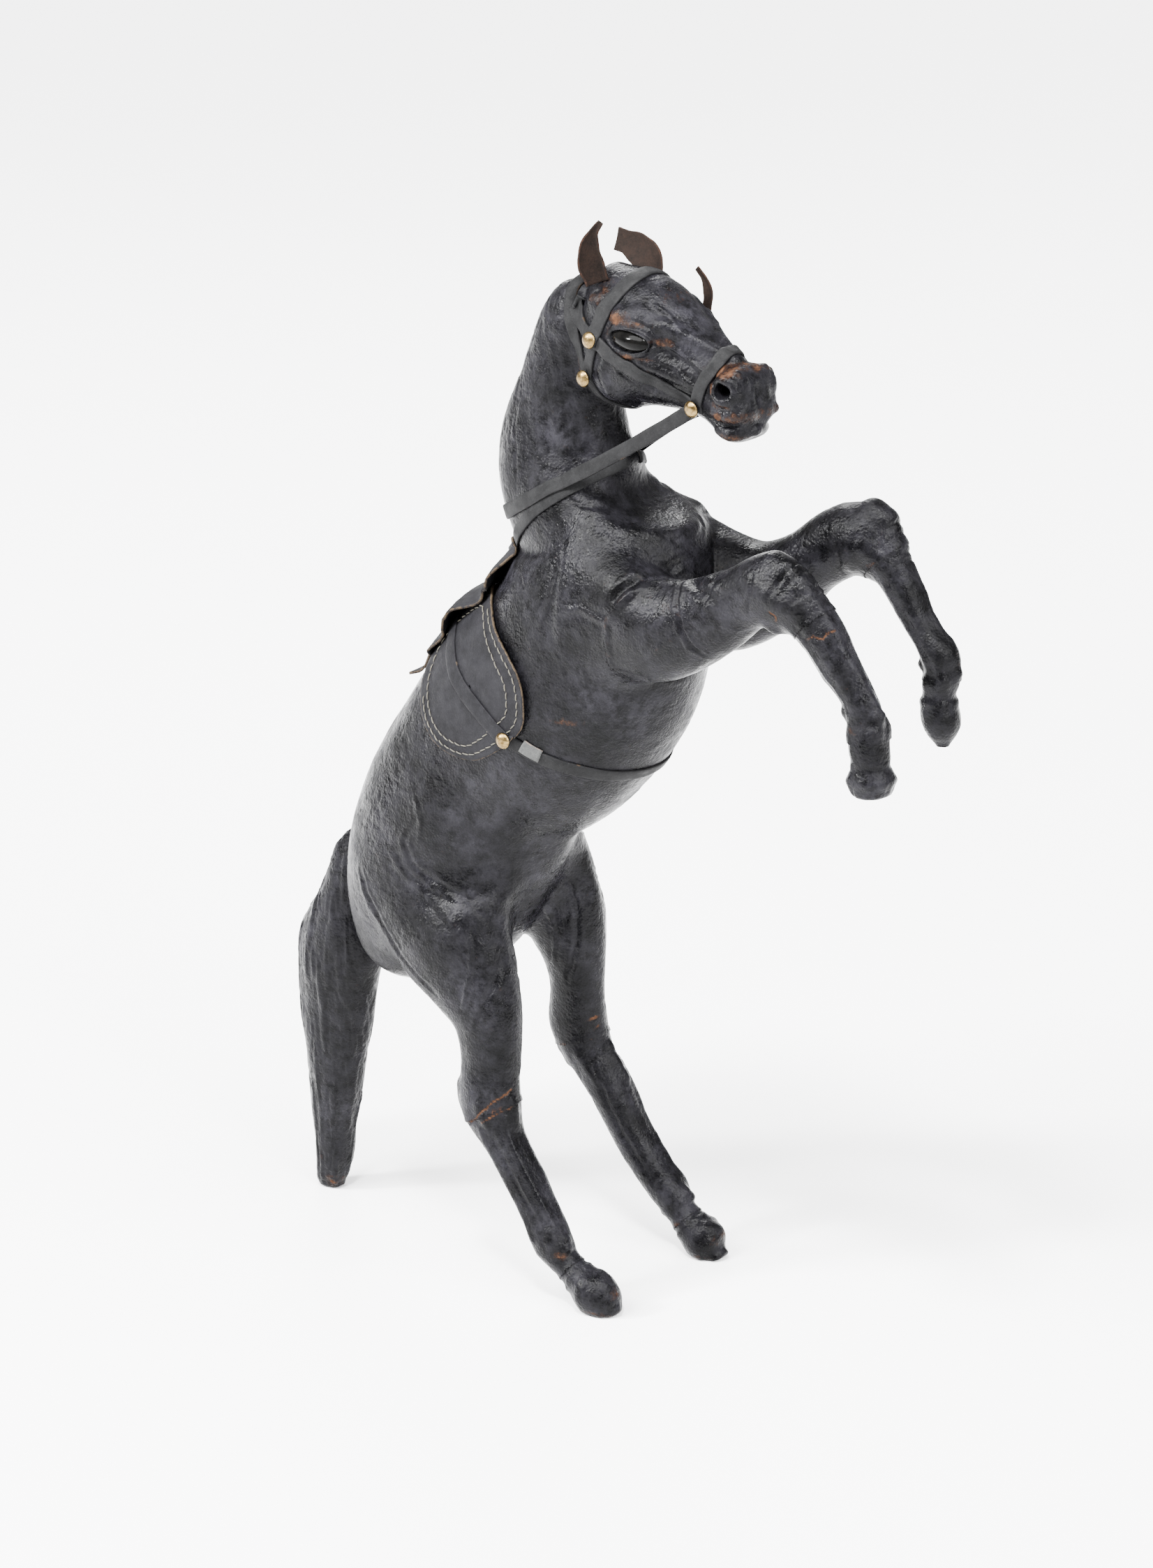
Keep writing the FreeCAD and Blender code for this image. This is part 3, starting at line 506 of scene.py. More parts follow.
# Creases and ridges in the leather: side, width, depth (a ridge if negative), wear, line.
CREASES = [
    (-1, 1.0, 1.1, 0.1, [(80, 424), (84, 421), (90, 405), (96, 394), (101, 389)]),  # foreleg's root
    (-1, 2.2, 1.6, 0.1, [(108, 422), (92, 425), (77, 428), (59, 421), (46, 409)]),
    (-1, 1.8, 1.4, 0.0, [(55, 362), (62, 357), (70, 357), (86, 367), (108, 388)]),
    (-1, 1.7, -0.8, 0.1, [(43, 397), (43, 384), (42, 368)]),  # scars on the shoulder
    (-1, 1.5, -0.7, 0.1, [(42, 396), (34, 398), (25, 401), (12, 396)]),
    (-1, 1.7, -0.9, 0.1, [(42, 396), (49, 405), (59, 418)]),
    (-1, 1.6, -0.6, 0.0, [(5, 418), (3, 402), (-4, 385)]),
    (-1, 1.5, -0.6, 0.1, [(70, 384), (90, 400)]),
    (0, 1.2, 1.0, 0.0, [(38, 466), (47, 452), (58, 441), (72, 430)]),  # front of the neck
    (0, 1.0, 0.7, 0.0, [(30, 462), (40, 447), (52, 436), (64, 428)]),
    (0, 1.0, 0.6, 0.0, [(-1, 450), (21, 448), (44, 448)]),
    (0, 0.9, 0.7, 0.0, [(107, 431), (103, 415)]),
    (0, 0.9, 0.7, 0.0, [(132, 438), (134, 430), (132, 420)]),
    (0, 1.5, 0.7, 0.0, [(-85, 262), (-95, 246), (-91, 234), (-79, 226), (-54, 218), (-45, 209)]),
    (0, 1.8, -0.45, 0.0, [(-107, 238), (-96, 226), (-83, 218), (-67, 211), (-55, 202)]),  # haunch
    (0, 1.4, 0.9, 0.0, [(-130, 220), (-121, 202), (-97, 178), (-70, 163)]),
    (0, 1.2, 1.0, 0.0, [(-42, 222), (-36, 197), (-37, 175), (-44, 150)]),
    (0, 1.0, -0.8, 0.0, [(-52, 205), (-48, 182), (-52, 160)]),
    (0, 2.0, 1.5, 0.0, [(22, 280), (4, 260), (-15, 236), (-22, 215)]),
    (0, 1.2, -0.4, 0.0, [(-88, 272), (-83, 258), (-86, 246)]),
    (-1, 0.5, 0.7, 0.62, [(-22, 121), (-30, 112), (-36, 106), (-44, 97), (-53, 89)]),  # hock seam
    (-1, 0.5, 0.5, 0.52, [(-25, 106), (-34, 100), (-41, 95)]),
    (-1, 0.5, 0.7, 0.62, [(164, 409), (169, 413), (174, 412), (181, 418), (189, 422)]),  # knee seam
    (-1, 0.6, 0.5, 0.62, [(145, 423), (149, 420), (147, 416)]),
    (2, 0.6, 0.6, 0.8, [(-16, 136), (-24, 134), (-30, 129), (-36, 127)]),
    (2, 0.5, 0.4, 0.6, [(-18, 131), (-26, 127), (-33, 121)]),
]
# Where the black is worn to brown: side, x, z, reach along, reach up, amount.
WORN = [
    (-1, 12, 334, 10, 2.2, 0.36), (0, 47, 13, 5, 3.5, 0.34), (0, 36, 2.0, 14, 2.0, 0.36),
    (0, -186, 5, 6, 5, 0.30), (0, -196, 22, 10, 7, 0.18), (0, 199, 328, 12, 3, 0.22),
    (-1, 193, 367, 4, 3, 0.3), (0, 190, 332, 8, 4, 0.2), (-1, 12, 29, 5, 3, 0.3),
    (0, 74, 412, 14, 5, 0.12), (1, 145, 420, 5, 2, 0.36), (0, -120, 235, 6, 16, 0.1),
]
WORN_HEAD = [
    (0, 33, 553, 10, 4.0, 0.49), (0, 44, 550.5, 14, 2.2, 0.32), (0, 62, 543, 6, 3.0, 0.41),
    (0, 43, 533.5, 16, 2.0, 0.42), (0, 29, 544, 3, 5, 0.35), (0, 100, 533.5, 9, 3.6, 0.59),
    (0, 93.5, 526, 2.6, 6, 0.49), (0, 100, 516.5, 8, 1.8, 0.43), (0, 101, 510.5, 9, 2.6, 0.49),
    (0, 118, 536, 4, 7, 0.35), (0, 112, 512, 6, 4, 0.30), (0, 104, 500, 12, 3, 0.32),
    (0, 17, 561, 8, 8, 0.27), (0, 60, 566, 12, 6, 0.19), (0, 20, 548, 3, 6, 0.27),
    (0, 52, 524, 14, 5, 0.14), (0, 88, 534, 8, 5, 0.14),
]


def facing(skin, side):
    """How much each point faces a side: right -1, left 1, both 0, inner side of the left legs 2."""
    y = skin.normals[:, 1]
    if side == 2:
        return smooth_step(0.0, 0.5, -y) * (skin.points[:, 1] > 10)
    if side == 0:
        return smooth_step(0.0, 0.5, np.abs(y))
    return smooth_step(0.0, 0.5, y * side) * (skin.points[:, 1] * side > -10)


def wear_away(skin, spots, p):
    ragged = 0.75 + 0.45 * fbm(p, 5, 2, 101)
    for side, x, z, along, up, amount in spots:
        gap = ((p[:, 0] - x) / along) ** 2 + ((p[:, 2] - z) / up) ** 2
        turned_to = facing(skin, side) if side else 1.0
        skin.wear += amount * ragged * np.exp(-gap ** 1.5) * turned_to


def bell(v):
    return np.exp(-v ** 2)


def relief(skin, fine):
    p = skin.points
    x, z = p[:, 0], p[:, 2]
    height = np.zeros(len(p))
    for cx, cz, side, along, across, slope, rise in SWELLINGS:
        c, s = math.cos(math.radians(slope)), math.sin(math.radians(slope))
        u = ((x - cx) * c + (z - cz) * s) / along
        v = (-(x - cx) * s + (z - cz) * c) / across
        height += rise * np.exp(-(u * u + v * v)) * facing(skin, side)
    tail = smooth_step(-150, -170, x)
    neck = smooth_step(440, 465, z) * smooth_step(25, 5, x)
    # broad unevenness, then wrinkles along noise contours
    height += 0.45 * fbm(p, 26, 2, 3)
    patch = smooth_step(-0.2, 0.7, fbm(p, 30, 2, 21))
    warp = p + 2.5 * np.stack([fbm(p, 12, 2, s) for s in (31, 41, 51)], 1)
    height -= 0.22 * bell(fbm(warp, 9, 3, 5) / 0.11) * (0.3 + patch)
    pits = fbm(p, 4.2, 2, 9)
    height += 0.10 * pits - 0.20 * smooth_step(0.45, 0.9, pits) * (0.4 + patch)
    legs = smooth_step(110, 130, x) + smooth_step(140, 120, z) * (1 - tail)
    height += legs * 0.22 * fbm(p, 7.5, 2, 111)
    height += 0.22 * bell(fbm(warp, 17, 2, 121) / 0.07) * smooth_step(0.1, 0.6, fbm(p, 45, 1, 131))
    groove = fbm(p, 4.0, 3, 61, along=(0, 0, 1), stretch=14)
    height += tail * 0.7 * (groove - 0.9 * bell(groove / 0.16))
    folds = fbm(p, 6.0, 2, 71, along=(-0.25, 0, 1), stretch=7)
    height -= neck * 0.38 * bell(folds / 0.2)
    shaken = [c + 0.8 * fbm(p, 6, 2, seed) for c, seed in ((x, 81), (z, 91))]
    for side, width, depth, wear, line in CREASES:
        gap, share = polyline_gap(*shaken, line)
        ends = smooth_step(0, 0.15, share) * smooth_step(1, 0.85, share)
        hold = facing(skin, side) * (0.35 + 0.65 * ends)
        height -= depth * bell(gap / width) * hold
        height += depth * 0.45 * bell((gap - 2.2 * width) / width) * hold
        skin.wear += wear * bell(gap / (width * 1.3)) * hold
    # bumps catch the wear first
    skin.wear += 0.08 * smooth_step(0.1, 0.8, pits)
    skin.points = p + skin.normals * (height * fine)[:, None]
    skin.find_normals()


# ---------------------------------------------------------------- materials
class Nodes:
    """A small helper for building a procedural material."""

    def __init__(self, name):
        self.material = bpy.data.materials.new(name)
        self.material.use_nodes = True
        self.tree = self.material.node_tree
        self.shader = self.tree.nodes["Principled BSDF"]
        self.place = self.node("ShaderNodeTexCoord").outputs["Object"]

    def feed(self, socket, value):
        """Links a socket to another one, or sets it to a number or a colour."""
        if isinstance(value, bpy.types.NodeSocket):
            self.tree.links.new(value, socket)
        else:
            socket.default_value = (*value, 1) if isinstance(value, tuple) else value

    def node(self, kind, **settings):
        made = self.tree.nodes.new(kind)
        for key, value in settings.items():
            if key in made.inputs:
                self.feed(made.inputs[key], value)
            else:
                setattr(made, key, value)
        return made

    def noise(self, size_mm, detail, rough):
        return self.node("ShaderNodeTexNoise", Vector=self.place, Scale=1000 / size_mm, Detail=detail,
                         Roughness=rough).outputs["Fac"]

    def cells(self, size_mm):
        return self.node("ShaderNodeTexVoronoi", Vector=self.place, Scale=1000 / size_mm).outputs["Distance"]

    def ramp(self, value, stops):
        made = self.node("ShaderNodeValToRGB")
        band = made.color_ramp
        while len(band.elements) < len(stops):
            band.elements.new(0.5)
        for element, (at, colour) in zip(band.elements, stops):
            element.position = at
            element.color = (*(colour if isinstance(colour, tuple) else (colour,) * 3), 1)
        self.feed(made.inputs["Fac"], value)
        return made.outputs["Color"]

    def spots(self, size_mm, detail, rough, *stops):
        """Noise turned into colours or greys."""
        return self.ramp(self.noise(size_mm, detail, rough), stops)

    def maths(self, operation, a, b):
        made = self.node("ShaderNodeMath", operation=operation)
        for socket, value in zip(made.inputs, (a, b)):
            self.feed(socket, value)
        return made.outputs["Value"]

    def worn_at(self, share, *noise):
        """The wear value of the mesh, made ragged by a share of noise."""
        wear = self.node("ShaderNodeAttribute", attribute_name="wear").outputs["Fac"]
        return self.maths("ADD", wear, self.maths("MULTIPLY", self.noise(*noise), share))

    def mix(self, share, a, b):
        made = self.node("ShaderNodeMix", data_type="RGBA")
        for index, value in ((0, share), (6, a), (7, b)):
            self.feed(made.inputs[index], value)
        return made.outputs[2]

    def bump(self, *layers):
        """Bumps from (height, distance in mm, strength), stacked."""
        below = {}
        for height, distance, strength in layers:
            made = self.node("ShaderNodeBump", Distance=distance / 1000, Strength=strength,
                             Height=height, **below)
            below = {"Normal": made.outputs["Normal"]}
        self.feed(self.shader.inputs["Normal"], below["Normal"])

    def finish(self, colour, rough, **settings):
        settings.update(Base_Color=colour, Roughness=rough)
        for key, value in settings.items():
            self.feed(self.shader.inputs[key.replace("_", " ")], value)
        return self.material


def hide_material(name, base, tint):
    """Dark waxed leather: patchy colour whose palest patches are painted sheen, fine grain, worn brown where
    the wear value is high.
    """
    n = Nodes(name)
    # patchy tone of the leather; the palest stop (the tint 2.6 times brighter) is painted sheen standing in
    # for glossy highlight patches
    tone_and_painted_sheen = n.spots(30, 6, 0.68, (0.36, base), (0.54, tint), (0.72, tuple(c * 2.6 for c in tint)))
    specks = n.spots(5, 4, 0.7, (0.42, 0.0), (0.78, 1.0))
    colour = n.mix(n.maths("MULTIPLY", specks, 0.25), tone_and_painted_sheen, tuple(c * 1.7 for c in tint))
    colour = n.mix(n.spots(7, 5, 0.72, (0.36, 0.85), (0.56, 0.0)), colour, base)
    worn_at = n.worn_at(0.9, 3.2, 5, 0.75)
    stain = n.ramp(worn_at, [(0.62, 0.0), (0.80, 0.85)])
    colour = n.mix(stain, colour, (0.0105, 0.0052, 0.0034))
    worn = n.ramp(worn_at, [(0.78, 0.0), (0.92, 1.0)])
    raw = n.spots(2.2, 3, 0.6, (0.3, (0.017, 0.0075, 0.004)), (0.7, (0.050, 0.023, 0.012)))
    colour = n.mix(worn, colour, raw)
    smears = n.maths("ADD", n.maths("MULTIPLY", n.noise(26, 4, 0.7), 0.6),
                     n.maths("MULTIPLY", n.noise(7, 4, 0.75), 0.4))
    rough = n.mix(worn, n.ramp(smears, [(0.40, 0.14), (0.60, 0.48)]), (0.75, 0.75, 0.75))
    n.bump((n.noise(11, 5, 0.62), 1.3, 0.5), (n.noise(3.4, 4, 0.7), 0.6, 0.7),
           (n.cells(1.5), 0.3, 0.6), (n.noise(0.7, 3, 0.7), 0.12, 0.5))
    return n.finish(colour, rough, Specular_IOR_Level=0.052)


def strap_material(name, base, tint, edge):
    """Matt tack leather with paler cut edges."""
    n = Nodes(name)
    colour = n.spots(12, 4, 0.7, (0.35, base), (0.68, tint))
    flecks = n.spots(1.1, 3, 0.7, (0.55, 0.0), (0.8, 0.5))
    colour = n.mix(flecks, colour, tuple(c * 2.0 for c in tint))
    worn = n.ramp(n.worn_at(0.8, 2.4, 4, 0.7), [(0.86, 0.0), (1.05, 1.0)])
    colour = n.mix(worn, colour, edge)
    n.bump((n.cells(0.9), 0.16, 0.5), (n.noise(3.5, 3, 0.6), 0.4, 0.3))
    return n.finish(colour, n.spots(8, 3, 0.6, (0.3, 0.5), (0.7, 0.72)), Specular_IOR_Level=0.055)


def suede_material(name, dark, light, size):
    """The fibrous flesh side of leather."""
    n = Nodes(name)
    broad = n.spots(7, 4, 0.7, (0.3, dark), (0.72, light))
    fibres = n.spots(size, 4, 0.8, (0.35, 0.0), (0.75, 1.0))
    colour = n.mix(n.maths("MULTIPLY", fibres, 0.55), broad, tuple(min(1, c * 1.8) for c in light))
    rubbed = n.ramp(n.worn_at(0.5, 3, 4, 0.7), [(0.5, 0.0), (0.8, 1.0)])
    colour = n.mix(rubbed, colour, (light[0] * 4.5, light[1] * 3.2, light[2] * 2.6))
    n.bump((n.noise(size, 4, 0.8), 0.35, 0.8), (n.noise(4, 3, 0.6), 0.8, 0.4))
    return n.finish(colour, 0.9, Specular_IOR_Level=0.08)


def simple_material(name, colour, rough, bump=None, **settings):
    """A spotted colour, an even or spotted roughness, and one bump: its noise, height and strength."""
    n = Nodes(name)
    if bump:
        n.bump((n.noise(*bump[:3]), *bump[3:]))
    return n.finish(n.spots(*colour), n.spots(*rough) if isinstance(rough, tuple) else rough, **settings)


LOOKS = {
    "body_leather": hide_material("black_hide", (0.0006, 0.0006, 0.0007), (0.0046, 0.0044, 0.0054)),
    "strap_leather": strap_material("tack_leather", (0.0040, 0.0040, 0.0042), (0.0084, 0.0084, 0.0087),
                                    (0.022, 0.015, 0.010)),
    "saddle_leather": strap_material("saddle_leather", (0.0036, 0.0035, 0.0041), (0.0076, 0.0074, 0.0086),
                                     (0.036, 0.026, 0.017)),
    "ear_leather": suede_material("ear_suede", (0.0014, 0.0012, 0.0011), (0.0078, 0.0046, 0.0034), 0.8),
    "suede": suede_material("grey_suede", (0.014, 0.0142, 0.0138), (0.046, 0.047, 0.046), 0.6),
    "sewing_thread": simple_material(
        "waxed_thread", (3, 3, 0.6, (0.3, (0.021, 0.019, 0.012)), (0.7, (0.050, 0.045, 0.029))), 0.7,
        (0.35, 2, 0.6, 0.12, 0.7)),
    "brass_studs": simple_material(
        "aged_brass", (2.6, 5, 0.7, (0.35, (0.055, 0.034, 0.012)), (0.62, (0.19, 0.13, 0.052))),
        (1.6, 4, 0.7, (0.3, 0.2), (0.75, 0.45)), (1.2, 4, 0.7, 0.12, 0.5), Metallic=1.0),
    "glass_eyes": simple_material(
        "dark_glass_eye", (5, 2, 0.5, (0.3, (0.001, 0.001, 0.001)), (0.8, (0.003, 0.0028, 0.0026))), 0.12,
        (6, 2, 0.5, 0.1, 0.2), Specular_IOR_Level=0.035),
    "armature_wire": simple_material("armature_steel", (4, 4, 0.7, (0.3, 0.25), (0.7, 0.45)), 0.4,
                                     (0.8, 3, 0.6, 0.08, 0.4), Metallic=1.0),
}


# ---------------------------------------------------------------- making pieces
def piece(name, points, faces, slot, wear=None, normals=None, replaced=None):
    """A mesh object from millimetre points, riding on the body and standing for CAD nodes."""
    replaced = replaced or [name]
    mesh = bpy.data.meshes.new(name)
    mesh.from_pydata(np.asarray(points) / 1000, [], faces)
    mesh.validate()
    mesh.polygons.foreach_set("use_smooth", np.ones(len(mesh.polygons), bool))
    mesh.materials.append(LOOKS[slot])
    stored = mesh.attributes.new("wear", "FLOAT", "POINT")
    values = np.zeros(len(points)) if wear is None else wear
    stored.data.foreach_set("value", np.asarray(values, np.float32))
    if normals is not None:
        mesh.normals_split_custom_set_from_vertices(normals.tolist())
    made = bpy.data.objects.new(name, mesh)
    bpy.context.scene.collection.objects.link(made)
    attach(made, "root")
    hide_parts(*replaced)


def ring_faces(rows, size, first=0):
    """Quads between rows of points that each close into a ring."""
    faces = []
    for a in range(first, first + (rows - 1) * size, size):
        for j in range(size):
            k = (j + 1) % size
            faces.append((a + j, a + k, a + size + k, a + size + j))
    return faces


def tube_faces(rows, size, first=0):
    """The same, with both ends closed."""
    last = first + (rows - 1) * size
    return ring_faces(rows, size, first) + [tuple(range(first + size - 1, first - 1, -1)),
                                            tuple(range(last, last + size))]


def outward(points, faces):
    """The faces, turned over if they enclose the shape inside out."""
    volume = 0.0
    for face in faces:
        p = points[list(face[:4])]
        volume += np.cross(p[0], p[1]) @ p[2]
        if len(p) == 4:
            volume += np.cross(p[0], p[2]) @ p[3]
    return faces if volume > 0 else [face[::-1] for face in faces]


# ---------------------------------------------------------------- leather panels
# Panels whose edge lies on top of the next panel down.
LAPS = [("thigh", "shank"), ("shank", "hind_hoof"), ("forearm", "cannon"), ("cannon", "fore_hoof")]
CORE_OF = {part: part + "_core" for part in ("torso", "neck", "head", "tail")}
CORE_OF.update({f"{side}_{panel}": f"{side}_{end}_core" for side, _ in SIDES
                for panel, end in (("thigh", "hind"), ("forearm", "fore"))})


def nearest_panels(skin):
    """For each quad, which CAD leather it lies nearest to."""
    points, tris, owner = [], [], []
    start = 0
    for i, node in enumerate(LEATHERS):
        p, t = triangles_of(node)
        points.append(p)
        tris.append(t + start)
        owner.append(np.full(len(t), i))
        start += len(p)
    owner = np.concatenate(owner)
    tree = BVHTree.FromPolygons(np.concatenate(points).tolist(), np.concatenate(tris).tolist())
    centres = skin.points[skin.quads].mean(1)
    return owner[[tree.find_nearest(c)[2] for c in centres.tolist()]]


def evened_labels(skin, labels, rounds):
    """The same labels with smoother borders."""
    best = np.full(len(labels), -1.0)
    result = labels.copy()
    for label in np.unique(labels):
        member = np.zeros(len(skin.points))
        share = (labels == label).astype(float)
        for i in range(4):
            member += np.bincount(skin.quads[:, i], share, len(member))
        member /= np.bincount(skin.quads.ravel(), minlength=len(member)).clip(1)
        member = skin.averaged(member, rounds, 0.3)
        score = member[skin.quads].mean(1)
        result = np.where(score > best, label, result)
        best = np.maximum(best, score)
    return result


def cut_panel(skin, labels, label, lapped):
    """One panel as its own mesh, with a raised turned edge where it laps the next panel."""
    mine = labels == label
    touched = skin.touched(mine)
    seam = touched & skin.touched(np.isin(labels, lapped))
    border = touched & skin.touched(~mine)
    points = skin.points
    wear = skin.wear.copy()
    if seam.any():
        lift = skin.averaged(seam.astype(float), 5, 0.2)
        lift /= lift[seam].mean()
        jag = 0.5 + 0.5 * value_noise(skin.points / 3.0, 5)
        points = points + skin.normals * (lift.clip(0, 1) * (0.35 + 0.5 * jag))[:, None]
        torn = smooth_step(0.2, 0.6, fbm(skin.points, 7, 2, 15))
        wear = wear + 0.33 * lift.clip(0, 1) * torn
    index = np.cumsum(touched) - 1
    part = Skin(points[touched], index[skin.quads[mine]])
    normals = part.normals.copy()
    plain = (border & ~seam)[touched]
    normals[plain] = skin.normals[touched][plain]
    wear = wear[touched]
    points, faces = part.points, part.quads
    if seam.any():
        # turn the seamed edge in towards the core
        a, b = edges_of(faces).T
        open_edge = ~np.isin(b * len(points) + a, a * len(points) + b) & seam[touched][a] & seam[touched][b]
        a, b = a[open_edge], b[open_edge]
        ids = np.unique([a, b])
        new = np.full(len(points), -1)
        new[ids] = np.arange(len(ids)) + len(points)
        inner = points[ids] - part.normals[ids] * TURNED_IN
        points = np.concatenate([points, inner])
        normals = np.concatenate([normals, part.normals[ids]])
        wear = np.concatenate([wear, wear[ids] + 0.3])
        faces = np.concatenate([faces, np.stack([b, a, new[a], new[b]], 1)])
    return points, faces, wear, normals


# ---------------------------------------------------------------- what tack is laid on
class Ground:
    """The leather and the tack already placed, for later pieces to lie on."""

    def __init__(self):
        self.trees = []

    def add(self, points, faces):
        self.trees.append(BVHTree.FromPolygons(np.asarray(points).tolist(), [list(f) for f in faces]))

    def hit(self, start, direction, reach):
        best = (None, None, reach)
        for tree in self.trees:
            place, normal, _, distance = tree.ray_cast(start, direction, best[2])
            if place is not None:
                best = (place, normal, distance)
        return best[0], best[1]

    def nearest(self, point):
        found = [tree.find_nearest(point) for tree in self.trees]
        place, normal, _, _ = min((f for f in found if f[0] is not None), key=lambda f: f[3])
        return place, normal

    def seen(self, x, z, side, on_head=False, reach=LOOK_REACH):
        """What a ray from one side finds at a place in side view."""
        start = (turned if on_head else np.asarray)((x, side * LOOK_FROM, z))
        return self.hit(start, side_way(-side, on_head), reach)


def run_along(line):
    """How far along the line each of its points is."""
    return np.concatenate([[0], np.cumsum(np.linalg.norm(np.diff(line, axis=0), axis=1))])


def evened(line, pitch):
    run = run_along(line)
    count = max(3, int(round(run[-1] / pitch)) + 1)
    at = np.linspace(0, run[-1], count)
    return np.stack([np.interp(at, run, line[:, i]) for i in range(line.shape[1])], 1)


def smooth_path(points, pitch):
    """Points at an even pitch on a smooth curve through the given points."""
    points = [np.asarray(p, float) for p in points]
    ends = [2 * points[0] - points[1]] + points + [2 * points[-1] - points[-2]]
    fine = []
    for a, b, c, d in zip(ends, ends[1:], ends[2:], ends[3:]):
        for k in range(24):
            t = k / 24
            fine.append(0.5 * (2 * b + (c - a) * t + (2 * a - 5 * b + 4 * c - d) * t ** 2
                               + (3 * b - a - 3 * c + d) * t ** 3))
    fine.append(points[-1])
    return evened(np.array(fine), pitch)


def blurred(values, rounds):
    """Smoothed along a line, with its ends held."""
    values = np.array(values, float)
    for _ in range(rounds):
        values[1:-1] = (values[:-2] + 2 * values[1:-1] + values[2:]) / 4
    return values


def over_body(path, side, on_head=False):
    """Where a side-view path lies on the ground: on one side, or from right over to left."""
    runs = []
    for s in ((side,) if side else (-1, 1)):
        found = []
        for x, z in smooth_path(path, 0.8):
            place, _ = ground.seen(x, z, s, on_head)
            if place is not None:
                found.append(place)
            elif len(found) > 3:
                break
        runs.append(np.array(found))
    line = runs[0] if side else np.concatenate([runs[0], runs[1][::-1]])
    return blurred(evened(line, 1.5), 3)


def settled(line):
    """The line drawn down on to the ground, with smooth normals."""
    places, normals = zip(*[ground.nearest(p) for p in line])
    return np.array(places), unit(blurred(normals, 6))


def strap(name, line, normals, width, slot, thick=STRAP, seed=1, ends=0.0, free=None):
    """A flat strap along the line, bent to whatever is under it, with worn cut edges.

    ends is the length over which each end narrows to a point. free marks the points
    where the strap hangs clear of the body."""
    count, columns, above = len(line), 9, 9
    free = np.zeros(count) if free is None else free
    tangent = unit(np.gradient(line, axis=0))
    across = unit(np.cross(normals, tangent))
    normals = unit(np.cross(tangent, across))
    run = run_along(line)
    wobble = fbm(line, 14, 2, seed)
    half = width / 2 * (1 + 0.045 * wobble)
    if ends:
        for far in (run, run[-1] - run):
            half = half * np.sqrt(np.clip(far / ends, 0.03, 1))
    u = np.sin(np.linspace(-1, 1, columns) * math.pi / 2)
    heights = np.zeros((count, columns))
    for i in np.flatnonzero(np.asarray(free) == 0):
        for j in range(columns):
            start = line[i] + across[i] * half[i] * u[j] + normals[i] * above
            place, _ = ground.hit(start, -normals[i], 2 * above)
            heights[i, j] = above - np.linalg.norm(np.array(place) - start) if place else -0.6
    soft = blurred(heights, 6)
    heights = np.maximum(soft, heights)
    heights = np.maximum(blurred(heights, 2), heights)
    heights = heights * (1 - blurred(free, 8)[:, None])
    grid = line[:, None] + across[:, None] * (half[:, None] * u)[..., None]
    crown = thick * (1 - 0.3 * u ** 8)
    top = grid + normals[:, None] * (heights + crown + 0.12 * wobble[:, None])[..., None]
    bottom = grid + normals[:, None] * (heights - 0.15)[..., None]
    points = np.concatenate([top, bottom[:, ::-1]], 1).reshape(-1, 3)
    faces = outward(points, tube_faces(count, 2 * columns))
    edge = np.abs(np.concatenate([u, u[::-1]])) ** 6
    wear = np.tile(edge * 0.3, count) + 0.25 * (fbm(points, 9, 2, seed + 3) > 0.75)
    piece(name, points, faces, slot, wear)
    ground.add(points, faces)


def rods(name, lines, radius, slot):
    """Short round rods along lines, as one piece."""
    points, faces, sides = [], [], 6
    for line in lines:
        tangent = unit(np.gradient(line, axis=0))
        side = unit(np.cross(tangent, (0.3, 0.2, 0.93)))
        up = np.cross(side, tangent)
        faces += tube_faces(len(line), sides, len(points))
        for i in range(len(line)):
            r = radius * (0.55 if i in (0, len(line) - 1) else 1.0)
            points += [line[i] + side[i] * r * math.cos(a) + up[i] * r * math.sin(a) for a in circle(sides)]
    points = np.array(points)
    piece(name, points, outward(points, faces), slot)


def two_sided(name, grid, normals, thick, slot, wear, closed=False):
    """A leather sheet from a grid of points: outer face, inner face and cut edges."""
    rows, columns = grid.shape[:2]
    points = np.concatenate([(grid + normals * (thick / 2)).reshape(-1, 3),
                             (grid - normals * (thick / 2)).reshape(-1, 3)])
    back = rows * columns
    faces = []
    last = columns if closed else columns - 1
    for i in range(rows - 1):
        for j in range(last):
            k = (j + 1) % columns
            a, b, c, d = i * columns + j, i * columns + k, (i + 1) * columns + k, (i + 1) * columns + j
            faces.append((a, b, c, d))
            faces.append((back + d, back + c, back + b, back + a))
    rims = [(i * columns + j, i * columns + (j + 1) % columns, i > 0)
            for j in range(last) for i in (0, rows - 1)]
    if not closed:
        rims += [(i * columns + j, (i + 1) * columns + j, j == 0)
                 for i in range(rows - 1) for j in (0, columns - 1)]
    faces += [(a, b, back + b, back + a) if ahead else (b, a, back + a, back + b) for a, b, ahead in rims]
    faces = outward(points, faces)
    piece(name, points, faces, slot, np.tile(wear.ravel(), 2))
    return points, faces


# ---------------------------------------------------------------- the leather figure
ground = Ground()


def panels_from(skin, wanted, rounds):
    labels = evened_labels(skin, nearest_panels(skin), rounds)
    titles = [node.replace("_leather", "").replace("_boot", "") for node in LEATHERS]
    for i, node in enumerate(LEATHERS):
        if node not in wanted:
            continue
        title = node.replace("_leather", "")
        under = {side + "_" + low for side, _ in SIDES for high, low in LAPS if title == side + "_" + high}
        if title == "head":
            under = {"neck"}
        lapped = [k for k, other in enumerate(titles) if other in under]
        replaced = [node, CORE_OF[title]] if title in CORE_OF else [node]
        points, faces, wear, normals = cut_panel(skin, labels, i, lapped)
        piece(title + "_hide", points, faces, "body_leather", wear, normals, replaced)
        ground.add(points, faces)


